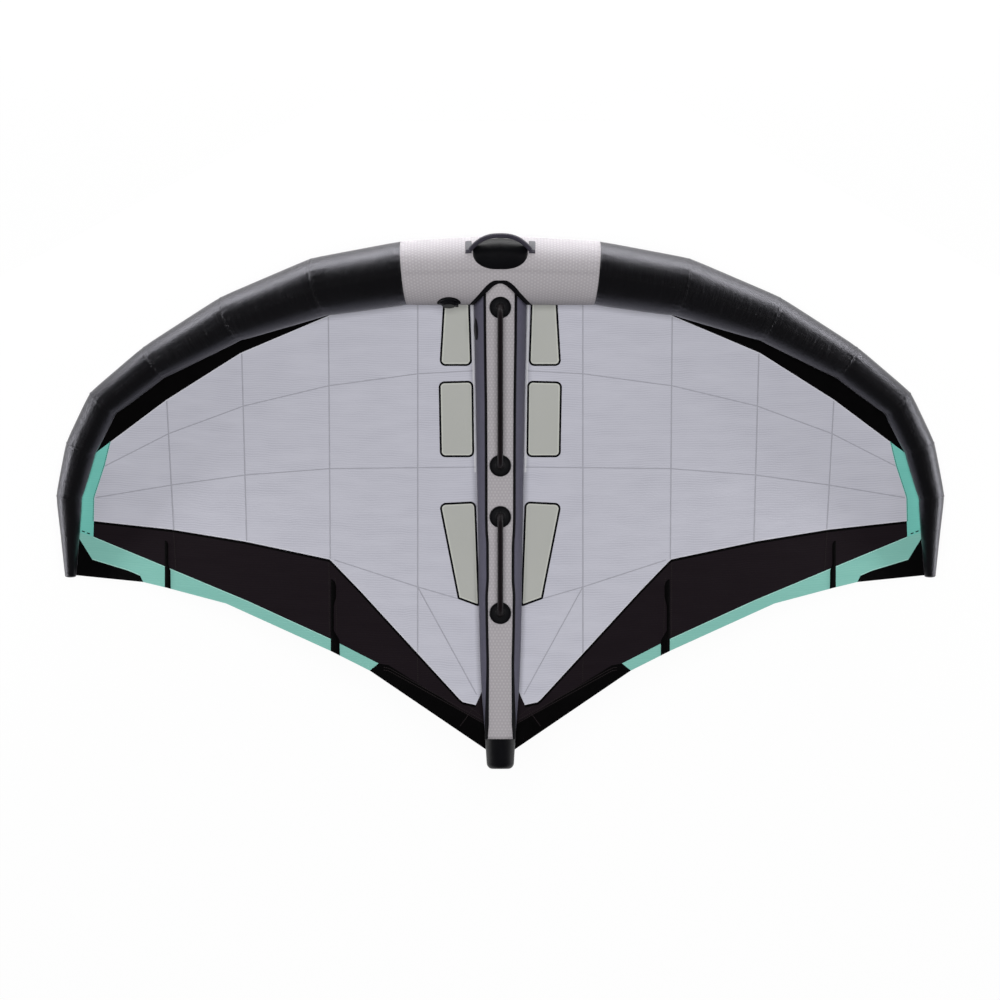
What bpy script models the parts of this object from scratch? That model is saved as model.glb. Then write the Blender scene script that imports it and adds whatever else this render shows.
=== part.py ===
"""Inflatable wing for foil boards, one strut, two rigid handles.

The wing is built in its own frame: +X along the span, +Y towards the leading edge, +Z towards the rider's
side, with the middle of the leading edge tube at zero. It is then pitched nose down, as it lies on the ground
on the outer panels of its leading edge with the handles up. Lengths are metres.
"""

import math

import bmesh
import bpy
from mathutils import Matrix, Vector

# Overall sizes
HALF_WIDTH = 1.5
REST_PITCH = math.radians(11.3)
TIP_DROP = 0.30
GAP = 0.0003
SHARP_ANGLE = math.radians(35)

# Leading edge tube. Each station is a seam between two panels, from the middle to the tip: its place across
# and back as shares of the half span, its radius as a share of the middle radius, its drop as a share of the
# tip's.
TUBE_RADIUS = 0.116
TUBE_SIDES = 20
SLEEVE_WALL = 0.0012
BLADDER_WALL = 0.0010
SEAM_ACROSS_SHARES = (0.0, 0.216, 0.408, 0.606, 0.778, 0.8935, 0.943, 0.970, 0.968, 0.967)
SEAM_BACK_SHARES = (0.0, 0.007, 0.038, 0.109, 0.206, 0.298, 0.398, 0.509, 0.585, 0.686)
SEAM_RADIUS_SHARES = (1.0, 0.928, 0.864, 0.699, 0.551, 0.484, 0.464, 0.383, 0.290, 0.165)
SEAM_DROP_SHARES = (0.0, 0.040, 0.167, 0.383, 0.633, 0.752, 0.859, 0.910, 0.952, 1.0)
CENTRE_SEAM = 1
REST_SEAM = 4
RESTING_SEAMS = (5, 6)
LAST_PANEL_SEAM = 7

# Canopy. It is sewn to the tube's top side, a share of the radius behind its middle line.
CANOPY_THICKNESS = 0.0010
CANOPY_CLEARANCE = 0.0010
ATTACH_SHARE = 0.40
CAMBER_SHARE = 0.035
CAMBER_PEAK_RATIO = 27 / 4
TAIL_RISE = 0.020
TIP_EDGE_DROP = 0.318
TRAILING_TWIST_POWER = 1.3
CELL_ACROSS = 0.200
CELL_BACK = 0.125
POCKET_THICKNESS = 0.003
POCKET_CLEARANCE = 0.0008
WINDOW_CORNER = 0.012
CORNER_STEPS = 3
MITRE_SHARE = 0.40

# Outlines in plan, as shares of the half span: across from the middle line, and back from the tube's middle.
TRAILING_EDGE_SHARES = (
    (0.0, 1.096), (0.033, 1.074), (0.293, 0.898), (0.383, 0.853), (0.616, 0.748), (0.749, 0.713),
    (0.803, 0.700), (0.954, 0.685),
)
ENTRY_START_SHARE = 0.243
ENTRY_LINE_SHARES = ((0.387, 0.102), (0.584, 0.185), (0.751, 0.290), (0.877, 0.384))
TIP_STRIP_TOP_SHARES = (0.936, 0.428)
TIP_STRIP_LINE_SHARES = ((0.890, 0.437), (0.914, 0.510), (0.915, 0.563))
TRAILING_CORNER_SHARES = (0.916, 0.598)
PANEL_LINE_SHARES = (
    (0.739, 0.582), (0.573, 0.609), (0.383, 0.649), (0.315, 0.719), (0.086, 0.968), (0.055, 0.975),
    (0.037, 0.935), (0.0, 0.920),
)
PATCH_LINE_SHARES = ((0.0, 1.030), (0.040, 1.012), (0.090, 0.985), (0.250, 0.886), (0.273, 0.882))
STRIP_LINE_SHARES = ((0.383, 0.826), (0.570, 0.741), (0.758, 0.663))
TIP_PATCH_SHARES = ((0.918, 0.650), (0.835, 0.675), (0.810, 0.686))
WINDOW_SHARES = {
    "front": ((0.126, 0.058), (0.070, 0.058), (0.065, 0.213), (0.135, 0.213)),
    "middle": ((0.137, 0.251), (0.062, 0.249), (0.060, 0.418), (0.134, 0.418)),
    "rear": ((0.136, 0.524), (0.056, 0.520), (0.051, 0.750), (0.094, 0.736)),
}
POCKET_WIDTH = 0.017
POCKET_SHARES = {
    "inner": ((0.380, 0.690), (0.363, 0.858)),
    "outer": ((0.756, 0.607), (0.745, 0.710)),
}

# Strut, a tube on the canopy's middle line. It starts inside the leading edge, a share of the tube's radius
# behind its middle. The other stations run to the tail, their places back as shares of the half span. The half
# width at each station is a share of the tube's radius.
STRUT_HEAD_SHARE = 0.304
STRUT_BACK_SHARES = (0.060, 0.098, 0.180, 0.300, 0.426, 0.530, 0.632, 0.740, 0.850, 0.941, 1.0505)
STRUT_WIDTH_SHARES = (
    0.768, 0.768, 0.763, 0.740, 0.710, 0.681, 0.659, 0.637, 0.623, 0.588, 0.544, 0.432,
)
STRIP_STEPS = 4
SLEEVE_STEPS = 16
STRUT_SIDES = STRIP_STEPS + SLEEVE_STEPS
HEAD_HEIGHT_RATIO = 1.19
TAIL_HEIGHT_RATIO = 1.00
STRUT_CLEARANCE = 0.0014
STRIP_HEAD_HALF = 0.0437
STRIP_TAIL_HALF = 0.0343
STRUT_BLADDER_SKIP_COUNT = 2
STRUT_BLADDER_END_INSET = 0.015
BLADDER_EASE = 0.0006
CAP_LENGTH = 0.100
CAP_STEPS = 6
CAP_END_SHARE = 0.88
CAP_ROUND = 0.020
SADDLE_WIDTH = 0.013
SADDLE_CROWN = 0.005
SADDLE_THICKNESS = 0.0015
SADDLE_LOW = -0.055
SADDLE_STATION_COUNT = 4

# Handles on the strut. The first base stands a little behind the tube.
FIRST_BASE_REACH = 0.011
FRONT_HANDLE_LENGTH = 0.531
HANDLE_SPACING = 0.172
REAR_HANDLE_LENGTH = 0.323
ROD_RADIUS = 0.0095
ROD_FOOT_RADIUS = 0.013
ROD_BEND = 0.034
ROD_SIDES = 12
ROD_BEND_STEPS = 5
RAIL_HEIGHT = 0.062
BASE_RADIUS = 0.0355
BASE_RIM = 0.0075
BASE_RIM_HEIGHT = 0.010
BASE_DISC_HEIGHT = 0.0135
BASE_FOOT_HEIGHT = 0.0150
BASE_FOOT_RADIUS = 0.016
BASE_GROOVE_HEIGHT = 0.0085
BASE_SKIRT = 0.014
BASE_EDGE = 0.0025
BASE_SIDES = 20

# Handle on the leading edge
STRAP_HALF = 0.1015
STRAP_FOOT_ANGLE = math.radians(37)
STRAP_TOP_ANGLE = math.radians(50)
STRAP_STANDOFF = 0.035
STRAP_ARCH_POWER = 2.6
STRAP_FOOT_SINK = 0.004
STRAP_WIDTH = 0.026
STRAP_THICKNESS = 0.012
STRAP_STEPS = 14
STRAP_SIDES = 10
STRAP_ROUND_SHARE = 0.6
TAB_LENGTH = 0.019
TAB_THICKNESS = 0.003
TAB_LOW_ANGLE = math.radians(31)
TAB_HIGH_ANGLE = math.radians(60)
PAD_HALF = 0.0925
PAD_ANGLE = math.radians(31.5)
PAD_HALF_ANGLE = math.radians(30.5)
PAD_THICKNESS = 0.006
PAD_SIDES = 28
PAD_ROUND_SHARE = 0.83

# Inflation valve on the back of the centre panel, left of the strut
VALVE_ACROSS = -0.173
VALVE_ANGLE = math.radians(70)
VALVE_FLANGE_RADIUS = 0.034
VALVE_FLANGE = 0.0025
NECK_RADIUS = 0.0235
NECK_BORE = 0.0195
NECK_HEIGHT = 0.0045
NECK_DEPTH = 0.012
BODY_RADIUS = 0.0190
BODY_FLANGE_RADIUS = 0.0250
BODY_FLANGE = 0.003
BODY_BORE = 0.0105
SEAT_BORE = 0.0080
SEAT_LOW = 0.0030
SEAT_HIGH = 0.0015
GRIP_NOTCHES = 6
GRIP_NOTCH = 0.0022
HOLE_SIDES = 8
POPPET_RADIUS = 0.0092
POPPET_DISC = 0.0015
POPPET_DROP = 0.0003
POPPET_TRAVEL = 0.0020
POPPET_CLEARANCE = 0.0007
STEM_RADIUS = 0.0018
STEM_CLEARANCE = 0.0005
STEM_RISE = 0.0044
STEM_OVERRUN = 0.0013
GUIDE_DEPTH = SEAT_LOW + POPPET_DROP + POPPET_DISC + POPPET_TRAVEL + POPPET_CLEARANCE
GUIDE_THICKNESS = 0.0020
GUIDE_SKIRT = 0.0030
GUIDE_HOLE = 0.0026
GUIDE_HOLE_RING = 0.0064
GUIDE_HOLES = 4
CAP_RADIUS = 0.0215
CAP_HEIGHT = 0.0050
CAP_EDGE = 0.0012
PLUG_RADIUS = 0.0098
PLUG_DEPTH = 0.0016
TONGUE_WIDTH = 0.012
TONGUE_THICKNESS = 0.0022
KNUCKLE_RADIUS = 0.0022
KNUCKLE_REACH = 0.0300
KNUCKLE_SIDES = 12
LUG_THICKNESS = 0.0025
LUG_REACH = 0.0030
VALVE_SIDES = 26

# Link pipe between the two bladders, inside the strut's head, and the clamp cover on the strut's left flank
LINK_RADIUS = 0.0085
LINK_BORE = 0.0065
LINK_REACH = 0.016
LINK_SIDES = 16
CLAMP_BACK = 0.197
CLAMP_ANGLE = math.radians(-68)
CLAMP_ANGLE_STEP = math.radians(-3)
CLAMP_LENGTH = 0.078
CLAMP_WIDTH = 0.030
CLAMP_HEIGHT = 0.007
CLAMP_SIDES = 20
CLAMP_STEPS = 4

COLOURS = {
    "light_fabric": ((0.42, 0.40, 0.41), 0.75, 0.0),
    "black_fabric": ((0.010, 0.010, 0.012), 0.55, 0.0),
    "canopy_fabric": ((0.48, 0.48, 0.54), 0.60, 0.0),
    "black_canopy": ((0.018, 0.013, 0.016), 0.65, 0.0),
    "teal_fabric": ((0.24, 0.60, 0.50), 0.60, 0.0),
    "deep_teal_fabric": ((0.08, 0.43, 0.33), 0.60, 0.0),
    "window_film": ((0.40, 0.41, 0.38), 0.25, 0.0),
    "slate_fabric": ((0.11, 0.11, 0.15), 0.55, 0.0),
    "black_webbing": ((0.008, 0.008, 0.010), 0.80, 0.0),
    "grey_webbing": ((0.35, 0.35, 0.36), 0.80, 0.0),
    "black_plastic": ((0.012, 0.012, 0.014), 0.35, 0.0),
    "black_foam": ((0.010, 0.010, 0.012), 0.60, 0.0),
    "rod_composite": ((0.015, 0.012, 0.013), 0.30, 0.0),
    "clear_bladder": ((0.55, 0.57, 0.60), 0.35, 0.0),
    "valve_white": ((0.60, 0.60, 0.62), 0.40, 0.0),
}

SIDES = {"left": -1.0, "right": 1.0}


def clear_scene():
    for thing in list(bpy.data.objects):
        bpy.data.objects.remove(thing, do_unlink=True)


# Small helpers

def interpolate(value, places, values):
    """Value on the straight lines through the given points, level past both ends."""
    if value <= places[0]:
        return values[0]
    for i in range(1, len(places)):
        if value <= places[i]:
            share = (value - places[i - 1]) / (places[i] - places[i - 1])
            return values[i - 1] + share * (values[i] - values[i - 1])
    return values[-1]


def scaled(shares):
    return [(across * HALF_WIDTH, back * HALF_WIDTH) for across, back in shares]


def material(name, finish):
    made = bpy.data.materials.new(name)
    made.use_nodes = True
    colour, roughness, metallic = COLOURS[finish]
    shader = made.node_tree.nodes["Principled BSDF"]
    shader.inputs["Base Color"].default_value = (*colour, 1.0)
    shader.inputs["Roughness"].default_value = roughness
    shader.inputs["Metallic"].default_value = metallic
    return made


def add_object(name, bm, finish, wing):
    """One closed solid from a bmesh, hung on the wing's frame."""
    bmesh.ops.recalc_face_normals(bm, faces=bm.faces[:])
    mesh = bpy.data.meshes.new(name)
    bm.to_mesh(mesh)
    bm.free()
    mesh.shade_smooth()
    mesh.set_sharp_from_angle(angle=SHARP_ANGLE)
    thing = bpy.data.objects.new(name, mesh)
    bpy.context.collection.objects.link(thing)
    thing.parent = wing
    if finish:
        mesh.materials.append(material(name, finish))
    return thing


def add_cutter(name, bm, wing):
    cutter = add_object(name, bm, None, wing)
    cutter.hide_render = True
    cutter.display_type = "WIRE"
    return cutter


def boolean(thing, cutter, operation):
    step = thing.modifiers.new(operation.lower() + "_" + cutter.name, "BOOLEAN")
    step.operation = operation
    step.object = cutter
    step.solver = "EXACT"


def bridge(bm, one, two, closed=True):
    """Faces between two rows of vertices of the same length."""
    count = len(one)
    for i in range(count if closed else count - 1):
        j = (i + 1) % count
        bm.faces.new((one[i], one[j], two[j], two[i]))


def loft(rings, bm=None):
    """Closed solid through rings of points, with a flat face on each end."""
    bm = bm or bmesh.new()
    rows = [[bm.verts.new(point) for point in ring] for ring in rings]
    for one, two in zip(rows, rows[1:]):
        bridge(bm, one, two)
    bm.faces.new(rows[0])
    bm.faces.new(rows[-1])
    return bm


def hollow_loft(outer, inner, start_closed=False, end_closed=False):
    """Tube wall between outer and inner rings, its ends open or closed."""
    bm = bmesh.new()
    outside = [[bm.verts.new(point) for point in ring] for ring in outer]
    inside = [[bm.verts.new(point) for point in ring] for ring in inner]
    for rows in (outside, inside):
        for one, two in zip(rows, rows[1:]):
            bridge(bm, one, two)
    for end, closed in ((0, start_closed), (-1, end_closed)):
        if closed:
            bm.faces.new(outside[end])
            bm.faces.new(inside[end])
        else:
            bridge(bm, outside[end], inside[end])
    return bm


def slab(outer, inner):
    """Closed solid between two grids of points of the same size."""
    bm = bmesh.new()
    over = [[bm.verts.new(point) for point in row] for row in outer]
    under = [[bm.verts.new(point) for point in row] for row in inner]
    for rows in (over, under):
        for one, two in zip(rows, rows[1:]):
            bridge(bm, one, two, closed=False)
    bridge(bm, over[0], under[0], closed=False)
    bridge(bm, over[-1], under[-1], closed=False)
    bridge(bm, [row[0] for row in over], [row[0] for row in under], closed=False)
    bridge(bm, [row[-1] for row in over], [row[-1] for row in under], closed=False)
    return bm


def turned(profile, sides):
    """Solid of revolution about Z from (radius, height) points; a closed profile makes a ring."""
    bm = bmesh.new()
    turns = [(math.cos(math.tau * i / sides), math.sin(math.tau * i / sides)) for i in range(sides)]
    rows = [[bm.verts.new((r * c, r * s, z)) for c, s in turns] for r, z in profile]
    for one, two in zip(rows, rows[1:] + rows[:1]):
        bridge(bm, one, two)
    return bm


def turned_solid(profile, sides):
    """Solid of revolution about Z whose first and last points end in flat discs."""
    turns = [(math.cos(math.tau * i / sides), math.sin(math.tau * i / sides)) for i in range(sides)]
    return loft([[(r * c, r * s, z) for c, s in turns] for r, z in profile])


def swept(path, sections):
    """Rings of points along a path on the middle line, each from its own list of (across, up) offsets."""
    rings = []
    for i, point in enumerate(path):
        ahead = (path[min(i + 1, len(path) - 1)] - path[max(i - 1, 0)]).normalized()
        side = Vector((1.0, 0.0, 0.0))
        up = side.cross(ahead)
        rings.append([point + side * a + up * b for a, b in sections[i]])
    return rings


def squared(value, share):
    """Coordinate of a unit circle drawn out towards a square; a share of 1 leaves it round."""
    return math.copysign(abs(value) ** share, value)


def circle(radius, sides, stretch=1.0, turn=0.0):
    """Points of a circle; the turn is a share of one side, so that a half puts a side on top."""
    angles = [math.tau * (i + turn) / sides for i in range(sides)]
    return [(radius * math.cos(angle), radius * stretch * math.sin(angle)) for angle in angles]


# Leading edge tube

def seam_drop(i):
    """How far a seam's middle lies below the wing's middle; the resting seams lie level on the ground."""
    if i not in RESTING_SEAMS:
        return SEAM_DROP_SHARES[i] * TIP_DROP
    level = TUBE_RADIUS * (SEAM_RADIUS_SHARES[REST_SEAM] - SEAM_RADIUS_SHARES[i])
    run = HALF_WIDTH * (SEAM_BACK_SHARES[i] - SEAM_BACK_SHARES[REST_SEAM])
    further = (run * math.sin(REST_PITCH) + level) / math.cos(REST_PITCH)
    return SEAM_DROP_SHARES[REST_SEAM] * TIP_DROP + further


def seam_point(i):
    """Middle of the tube at seam i: right of the middle line when i is positive."""
    k = abs(i)
    across = math.copysign(SEAM_ACROSS_SHARES[k] * HALF_WIDTH, i)
    return Vector((across, -SEAM_BACK_SHARES[k] * HALF_WIDTH, -seam_drop(k)))


def seam_radius(i):
    return SEAM_RADIUS_SHARES[abs(i)] * TUBE_RADIUS


def tube_ring(i, grow=0.0, along=0.0):
    """Ring of points in the seam's own plane, where the panels on both sides meet."""
    last = len(SEAM_ACROSS_SHARES) - 1
    here = seam_point(i)
    before = (here - seam_point(i - 1)).normalized() if i > -last else None
    after = (seam_point(i + 1) - here).normalized() if i < last else None
    before = before or after
    after = after or before
    ahead = (before + after).normalized()
    down = Vector((0.0, math.sin(REST_PITCH), -math.cos(REST_PITCH)))
    down = (down - ahead * down.dot(ahead)).normalized()
    side = ahead.cross(down)
    bend = after - before
    radius = seam_radius(i) + grow
    points = []
    for k in range(TUBE_SIDES):
        angle = math.tau * (k + 0.5) / TUBE_SIDES
        offset = (down * math.cos(angle) + side * math.sin(angle)) * radius
        if bend.length > 0.0:
            lean = bend.normalized()
            offset += lean * offset.dot(lean) * (1.0 / before.dot(ahead) - 1.0)
        points.append(here + offset + ahead * along)
    return points


def tube_panel(name, first, last, finish, wing):
    """Sleeve panel from one seam to another, its closed end at a tip if it has one."""
    tip = len(SEAM_ACROSS_SHARES) - 1
    seams = list(range(first, last + 1))
    outer, inner = [], []
    for seam in seams:
        along = 0.0
        if seam == first and seam != -tip:
            along = GAP / 2
        if seam == last and seam != tip:
            along = -GAP / 2
        wall = SLEEVE_WALL
        closed_end = abs(seam) == tip
        outer.append(tube_ring(seam, 0.0, along))
        inner.append(tube_ring(seam, -wall, math.copysign(wall, -seam) if closed_end else along))
    bm = hollow_loft(outer, inner, first == -tip, last == tip)
    return add_object(name, bm, finish, wing)


def tube_solid(first, last, grow):
    return loft([tube_ring(seam, grow) for seam in range(first, last + 1)])


def build_leading_edge(wing):
    centre = tube_panel("leading_edge_centre_panel", -CENTRE_SEAM, CENTRE_SEAM, "light_fabric", wing)
    last = len(SEAM_ACROSS_SHARES) - 1
    for number in range(CENTRE_SEAM, LAST_PANEL_SEAM + 1):
        end = number + 1 if number < LAST_PANEL_SEAM else last
        tube_panel(f"leading_edge_panel_{number}_right", number, end, "black_fabric", wing)
        tube_panel(f"leading_edge_panel_{number}_left", -end, -number, "black_fabric", wing)
    return centre


def build_tube_bladder(wing):
    """Airtight tube inside the sleeve, a little shorter than it and closed at both tips."""
    tip = len(SEAM_ACROSS_SHARES) - 1
    ease = SLEEVE_WALL + BLADDER_EASE
    outer, inner = [], []
    for seam in range(-tip, tip + 1):
        inset = 0.0
        wall = 0.0
        if abs(seam) == tip:
            inset = math.copysign(SLEEVE_WALL + BLADDER_EASE * 2, -seam)
            wall = math.copysign(BLADDER_WALL, -seam)
        outer.append(tube_ring(seam, -ease, inset))
        inner.append(tube_ring(seam, -ease - BLADDER_WALL, inset + wall))
    bm = hollow_loft(outer, inner, True, True)
    return add_object("leading_edge_bladder", bm, "clear_bladder", wing)


# Canopy

def attach_points():
    """The seam of canopy and tube as (across, back, height), from the middle to the tip."""
    points = []
    last = len(SEAM_ACROSS_SHARES) - 1
    for i in range(last + 1):
        before = seam_point(i) - seam_point(i - 1)
        after = seam_point(i + 1) - seam_point(i) if i < last else before
        before.normalize()
        after.normalize()
        run = (before + after).normalized()
        level = min(math.hypot(before.x, before.y), math.hypot(after.x, after.y))
        inward = Vector((run.y, -run.x, 0.0)).normalized()
        reach = seam_radius(i) + CANOPY_CLEARANCE
        place = seam_point(i) + inward * (reach * ATTACH_SHARE)
        height = place.z - reach * math.sqrt(1.0 - ATTACH_SHARE ** 2) / level - CANOPY_THICKNESS / 2
        points.append((place.x, -place.y, height))
    return points


def front_back(across, front):
    return interpolate(across, [p[0] for p in front], [p[1] for p in front])


def trailing_back(across):
    edge = scaled(TRAILING_EDGE_SHARES)
    return interpolate(across, [p[0] for p in edge], [p[1] for p in edge])


def canopy_height(across, back, front):
    """Height of the canopy's middle surface: a straight chord less the camber."""
    across = abs(across)
    start = front_back(across, front)
    start_height = interpolate(across, [p[0] for p in front], [p[2] for p in front])
    end = trailing_back(across)
    tip = TRAILING_EDGE_SHARES[-1][0] * HALF_WIDTH
    end_height = TAIL_RISE - (TAIL_RISE + TIP_EDGE_DROP) * min(across / tip, 1.0) ** TRAILING_TWIST_POWER
    chord = max(end - start, CANOPY_THICKNESS)
    share = min(max((back - start) / chord, 0.0), 1.0)
    sag = CAMBER_SHARE * chord * CAMBER_PEAK_RATIO * share * (1.0 - share) ** 2
    return start_height + share * (end_height - start_height) - sag


def inset(points, distance):
    """Outline moved inwards by a distance, or outwards by a negative one."""
    area = sum(a[0] * b[1] - b[0] * a[1] for a, b in zip(points, points[1:] + points[:1]))
    turn = math.copysign(1.0, area)
    moved = []
    for i, here in enumerate(points):
        here = Vector(here)
        into = (here - Vector(points[i - 1])).normalized()
        away = (Vector(points[(i + 1) % len(points)]) - here).normalized()
        normal_in = Vector((-into.y, into.x)) * turn
        normal_away = Vector((-away.y, away.x)) * turn
        middle = (normal_in + normal_away).normalized()
        point = here + middle * (distance / max(middle.dot(normal_in), MITRE_SHARE))
        moved.append((point.x, point.y))
    return moved


def rounded(points, radius):
    """Outline with each corner rounded."""
    result = []
    for i, here in enumerate(points):
        here = Vector(here)
        before = (Vector(points[i - 1]) - here).normalized()
        after = (Vector(points[(i + 1) % len(points)]) - here).normalized()
        half = before.angle(after) / 2
        centre = here + (before + after).normalized() * (radius / math.sin(half))
        start = here + before * (radius / math.tan(half)) - centre
        end = here + after * (radius / math.tan(half)) - centre
        for k in range(CORNER_STEPS + 1):
            share = k / CORNER_STEPS
            spoke = (start * (1.0 - share) + end * share).normalized() * radius
            result.append((centre.x + spoke.x, centre.y + spoke.y))
    return result


def cloth(name, outline, finish, wing, front, holes=(), thickness=CANOPY_THICKNESS, lift=0.0):
    """Cut piece of cloth on the canopy's surface, from its plan outline in (across, back)."""
    bm = bmesh.new()
    edges = []
    for loop in (outline, *holes):
        row = [bm.verts.new((across, -back, 0.0)) for across, back in loop]
        edges += [bm.edges.new((row[i - 1], row[i])) for i in range(len(row))]
    bmesh.ops.triangle_fill(bm, edges=edges, use_beauty=True, use_dissolve=False, normal=(0.0, 0.0, 1.0))
    low = [min(p[k] for p in outline) for k in (0, 1)]
    high = [max(p[k] for p in outline) for k in (0, 1)]
    for axis, cell in ((0, CELL_ACROSS), (1, CELL_BACK)):
        for k in range(math.floor(low[axis] / cell) + 1, math.ceil(high[axis] / cell)):
            place = (k * cell, 0.0, 0.0) if axis == 0 else (0.0, -k * cell, 0.0)
            normal = (1.0, 0.0, 0.0) if axis == 0 else (0.0, 1.0, 0.0)
            everything = bm.verts[:] + bm.edges[:] + bm.faces[:]
            bmesh.ops.bisect_plane(bm, geom=everything, plane_co=place, plane_no=normal)
    bmesh.ops.triangulate(bm, faces=bm.faces[:])
    for vert in bm.verts:
        vert.co.z = canopy_height(vert.co.x, -vert.co.y, front) + lift - thickness / 2
    made = bmesh.ops.extrude_face_region(bm, geom=bm.faces[:])["geom"]
    raised = [piece for piece in made if isinstance(piece, bmesh.types.BMVert)]
    bmesh.ops.translate(bm, verts=raised, vec=(0.0, 0.0, thickness))
    return add_object(name, bm, finish, wing)


def plan(points, side):
    return [(across * side, back) for across, back in points]


def build_canopy(wing, front):
    seam = GAP / 2
    plan_front = [(p[0], p[1]) for p in front]
    entry_start = ENTRY_START_SHARE * HALF_WIDTH
    entry = [(entry_start, front_back(entry_start, front))] + scaled(ENTRY_LINE_SHARES)
    tip_top = scaled([TIP_STRIP_TOP_SHARES])[0]
    tip_line = scaled(TIP_STRIP_LINE_SHARES)
    corner = scaled([TRAILING_CORNER_SHARES])[0]
    panel_line = scaled(PANEL_LINE_SHARES)
    patch_line = scaled(PATCH_LINE_SHARES)
    strip_line = scaled(STRIP_LINE_SHARES)
    tip_patch = scaled(TIP_PATCH_SHARES)
    edge = scaled(TRAILING_EDGE_SHARES)
    windows = {key: rounded(scaled(shares), WINDOW_CORNER) for key, shares in WINDOW_SHARES.items()}
    outlines = {
        "canopy_panel": ("canopy_fabric", plan_front[:2] + entry + tip_line + panel_line),
        "canopy_entry_strip": ("black_canopy", entry[::-1] + plan_front[2:7] + [tip_top]),
        "canopy_tip_strip": (
            "deep_teal_fabric",
            [entry[-1], tip_top] + plan_front[7:9] + [corner] + tip_line[::-1],
        ),
        "trailing_panel": (
            "black_canopy",
            tip_line[-1:] + panel_line + patch_line + strip_line + [corner],
        ),
        "trailing_strip": (
            "teal_fabric",
            [corner, plan_front[8]] + tip_patch + edge[6:1:-1] + patch_line[-1:] + strip_line,
        ),
        "tip_patch": ("black_fabric", [plan_front[8]] + tip_patch + edge[6:] + plan_front[9:]),
    }
    for side_name, side in SIDES.items():
        for key, (finish, outline) in outlines.items():
            holes = []
            if key == "canopy_panel":
                holes = [plan(inset(window, -seam), side) for window in windows.values()]
            cloth(f"{key}_{side_name}", plan(inset(outline, seam), side), finish, wing, front, holes)
        for key, window in windows.items():
            cloth(f"window_{key}_{side_name}", plan(inset(window, seam), side), "window_film", wing, front)
        for key, shares in POCKET_SHARES.items():
            build_pocket(f"batten_pocket_{key}_{side_name}", shares, side, wing, front)
    patch = patch_line + edge[2:0:-1] + edge[:1]
    mirrored = [(-across, back) for across, back in patch[1:-1]]
    outline = patch + mirrored[::-1]
    cloth("trailing_centre_patch", inset(outline, seam), "black_webbing", wing, front)


def build_pocket(name, shares, side, wing, front):
    """Batten in its sewn pocket, a strip with a round front end."""
    (top_across, top_back), (end_across, end_back) = scaled(shares)
    half = POCKET_WIDTH / 2
    run = Vector((end_across - top_across, end_back - top_back)).normalized()
    across = Vector((-run.y, run.x))
    top = Vector((top_across, top_back))
    arc = [top + across * half * math.cos(a) - run * half * math.sin(a) for a in
           (math.pi * k / (2 * CORNER_STEPS) for k in range(2 * CORNER_STEPS + 1))]
    end = Vector((end_across, end_back))
    points = arc + [end - across * half, end + across * half]
    outline = plan([(p.x, p.y) for p in points], side)
    lift = CANOPY_THICKNESS / 2 + POCKET_CLEARANCE + POCKET_THICKNESS / 2
    cloth(name, outline, "black_webbing", wing, front, thickness=POCKET_THICKNESS, lift=lift)


# Strut

def strut_stations():
    return [TUBE_RADIUS * STRUT_HEAD_SHARE] + [share * HALF_WIDTH for share in STRUT_BACK_SHARES]


def strut_half_width(back):
    return interpolate(back, strut_stations(), [share * TUBE_RADIUS for share in STRUT_WIDTH_SHARES])


def strut_section(back, front, grow=0.0):
    """Half width, half height and middle height of the strut's oval."""
    half = strut_half_width(back)
    start, end = strut_stations()[0], strut_stations()[-1]
    share = min(max((back - start) / (end - start), 0.0), 1.0)
    ratio = HEAD_HEIGHT_RATIO + share * (TAIL_HEIGHT_RATIO - HEAD_HEIGHT_RATIO)
    base = canopy_height(0.0, back, front) + CANOPY_THICKNESS / 2 + STRUT_CLEARANCE
    return half + grow, half * ratio + grow, base + half * ratio


def strut_top(back, front):
    _, half_height, middle = strut_section(back, front)
    return middle + half_height


def strut_middle(back, front):
    return Vector((0.0, -back, strut_section(back, front)[2]))


def strut_point(back, angle, front, grow=0.0):
    """Point on the strut's skin, its angle taken from the top towards the right."""
    half, half_height, middle = strut_section(back, front, grow)
    return Vector((half * math.sin(angle), -back, middle + half_height * math.cos(angle)))


def strut_ring(back, front, grow=0.0):
    """Ring of points round the strut, on the strip's steps and then on the sleeve's."""
    edge = strip_angle(back)
    angles = [-edge + 2 * edge * k / STRIP_STEPS for k in range(STRIP_STEPS)]
    angles += [edge + (math.tau - 2 * edge) * k / SLEEVE_STEPS for k in range(SLEEVE_STEPS)]
    return [strut_point(back, angle, front, grow) for angle in angles]


def strip_angle(back):
    start, end = strut_stations()[0], strut_stations()[-1]
    half = interpolate(back, [start, end], [STRIP_HEAD_HALF, STRIP_TAIL_HALF])
    return math.asin(half / strut_half_width(back))


def strut_panel(name, finish, edges, steps, wing, front):
    """Part of the strut's skin between two angles, each a function of the place back."""
    outer, inner = [], []
    for back in strut_stations():
        low, high = edges(back)
        angles = [low + (high - low) * k / steps for k in range(steps + 1)]
        outer.append([strut_point(back, angle, front) for angle in angles])
        inner.append([strut_point(back, angle, front, -SLEEVE_WALL) for angle in angles])
    return add_object(name, slab(outer, inner), finish, wing)


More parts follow.
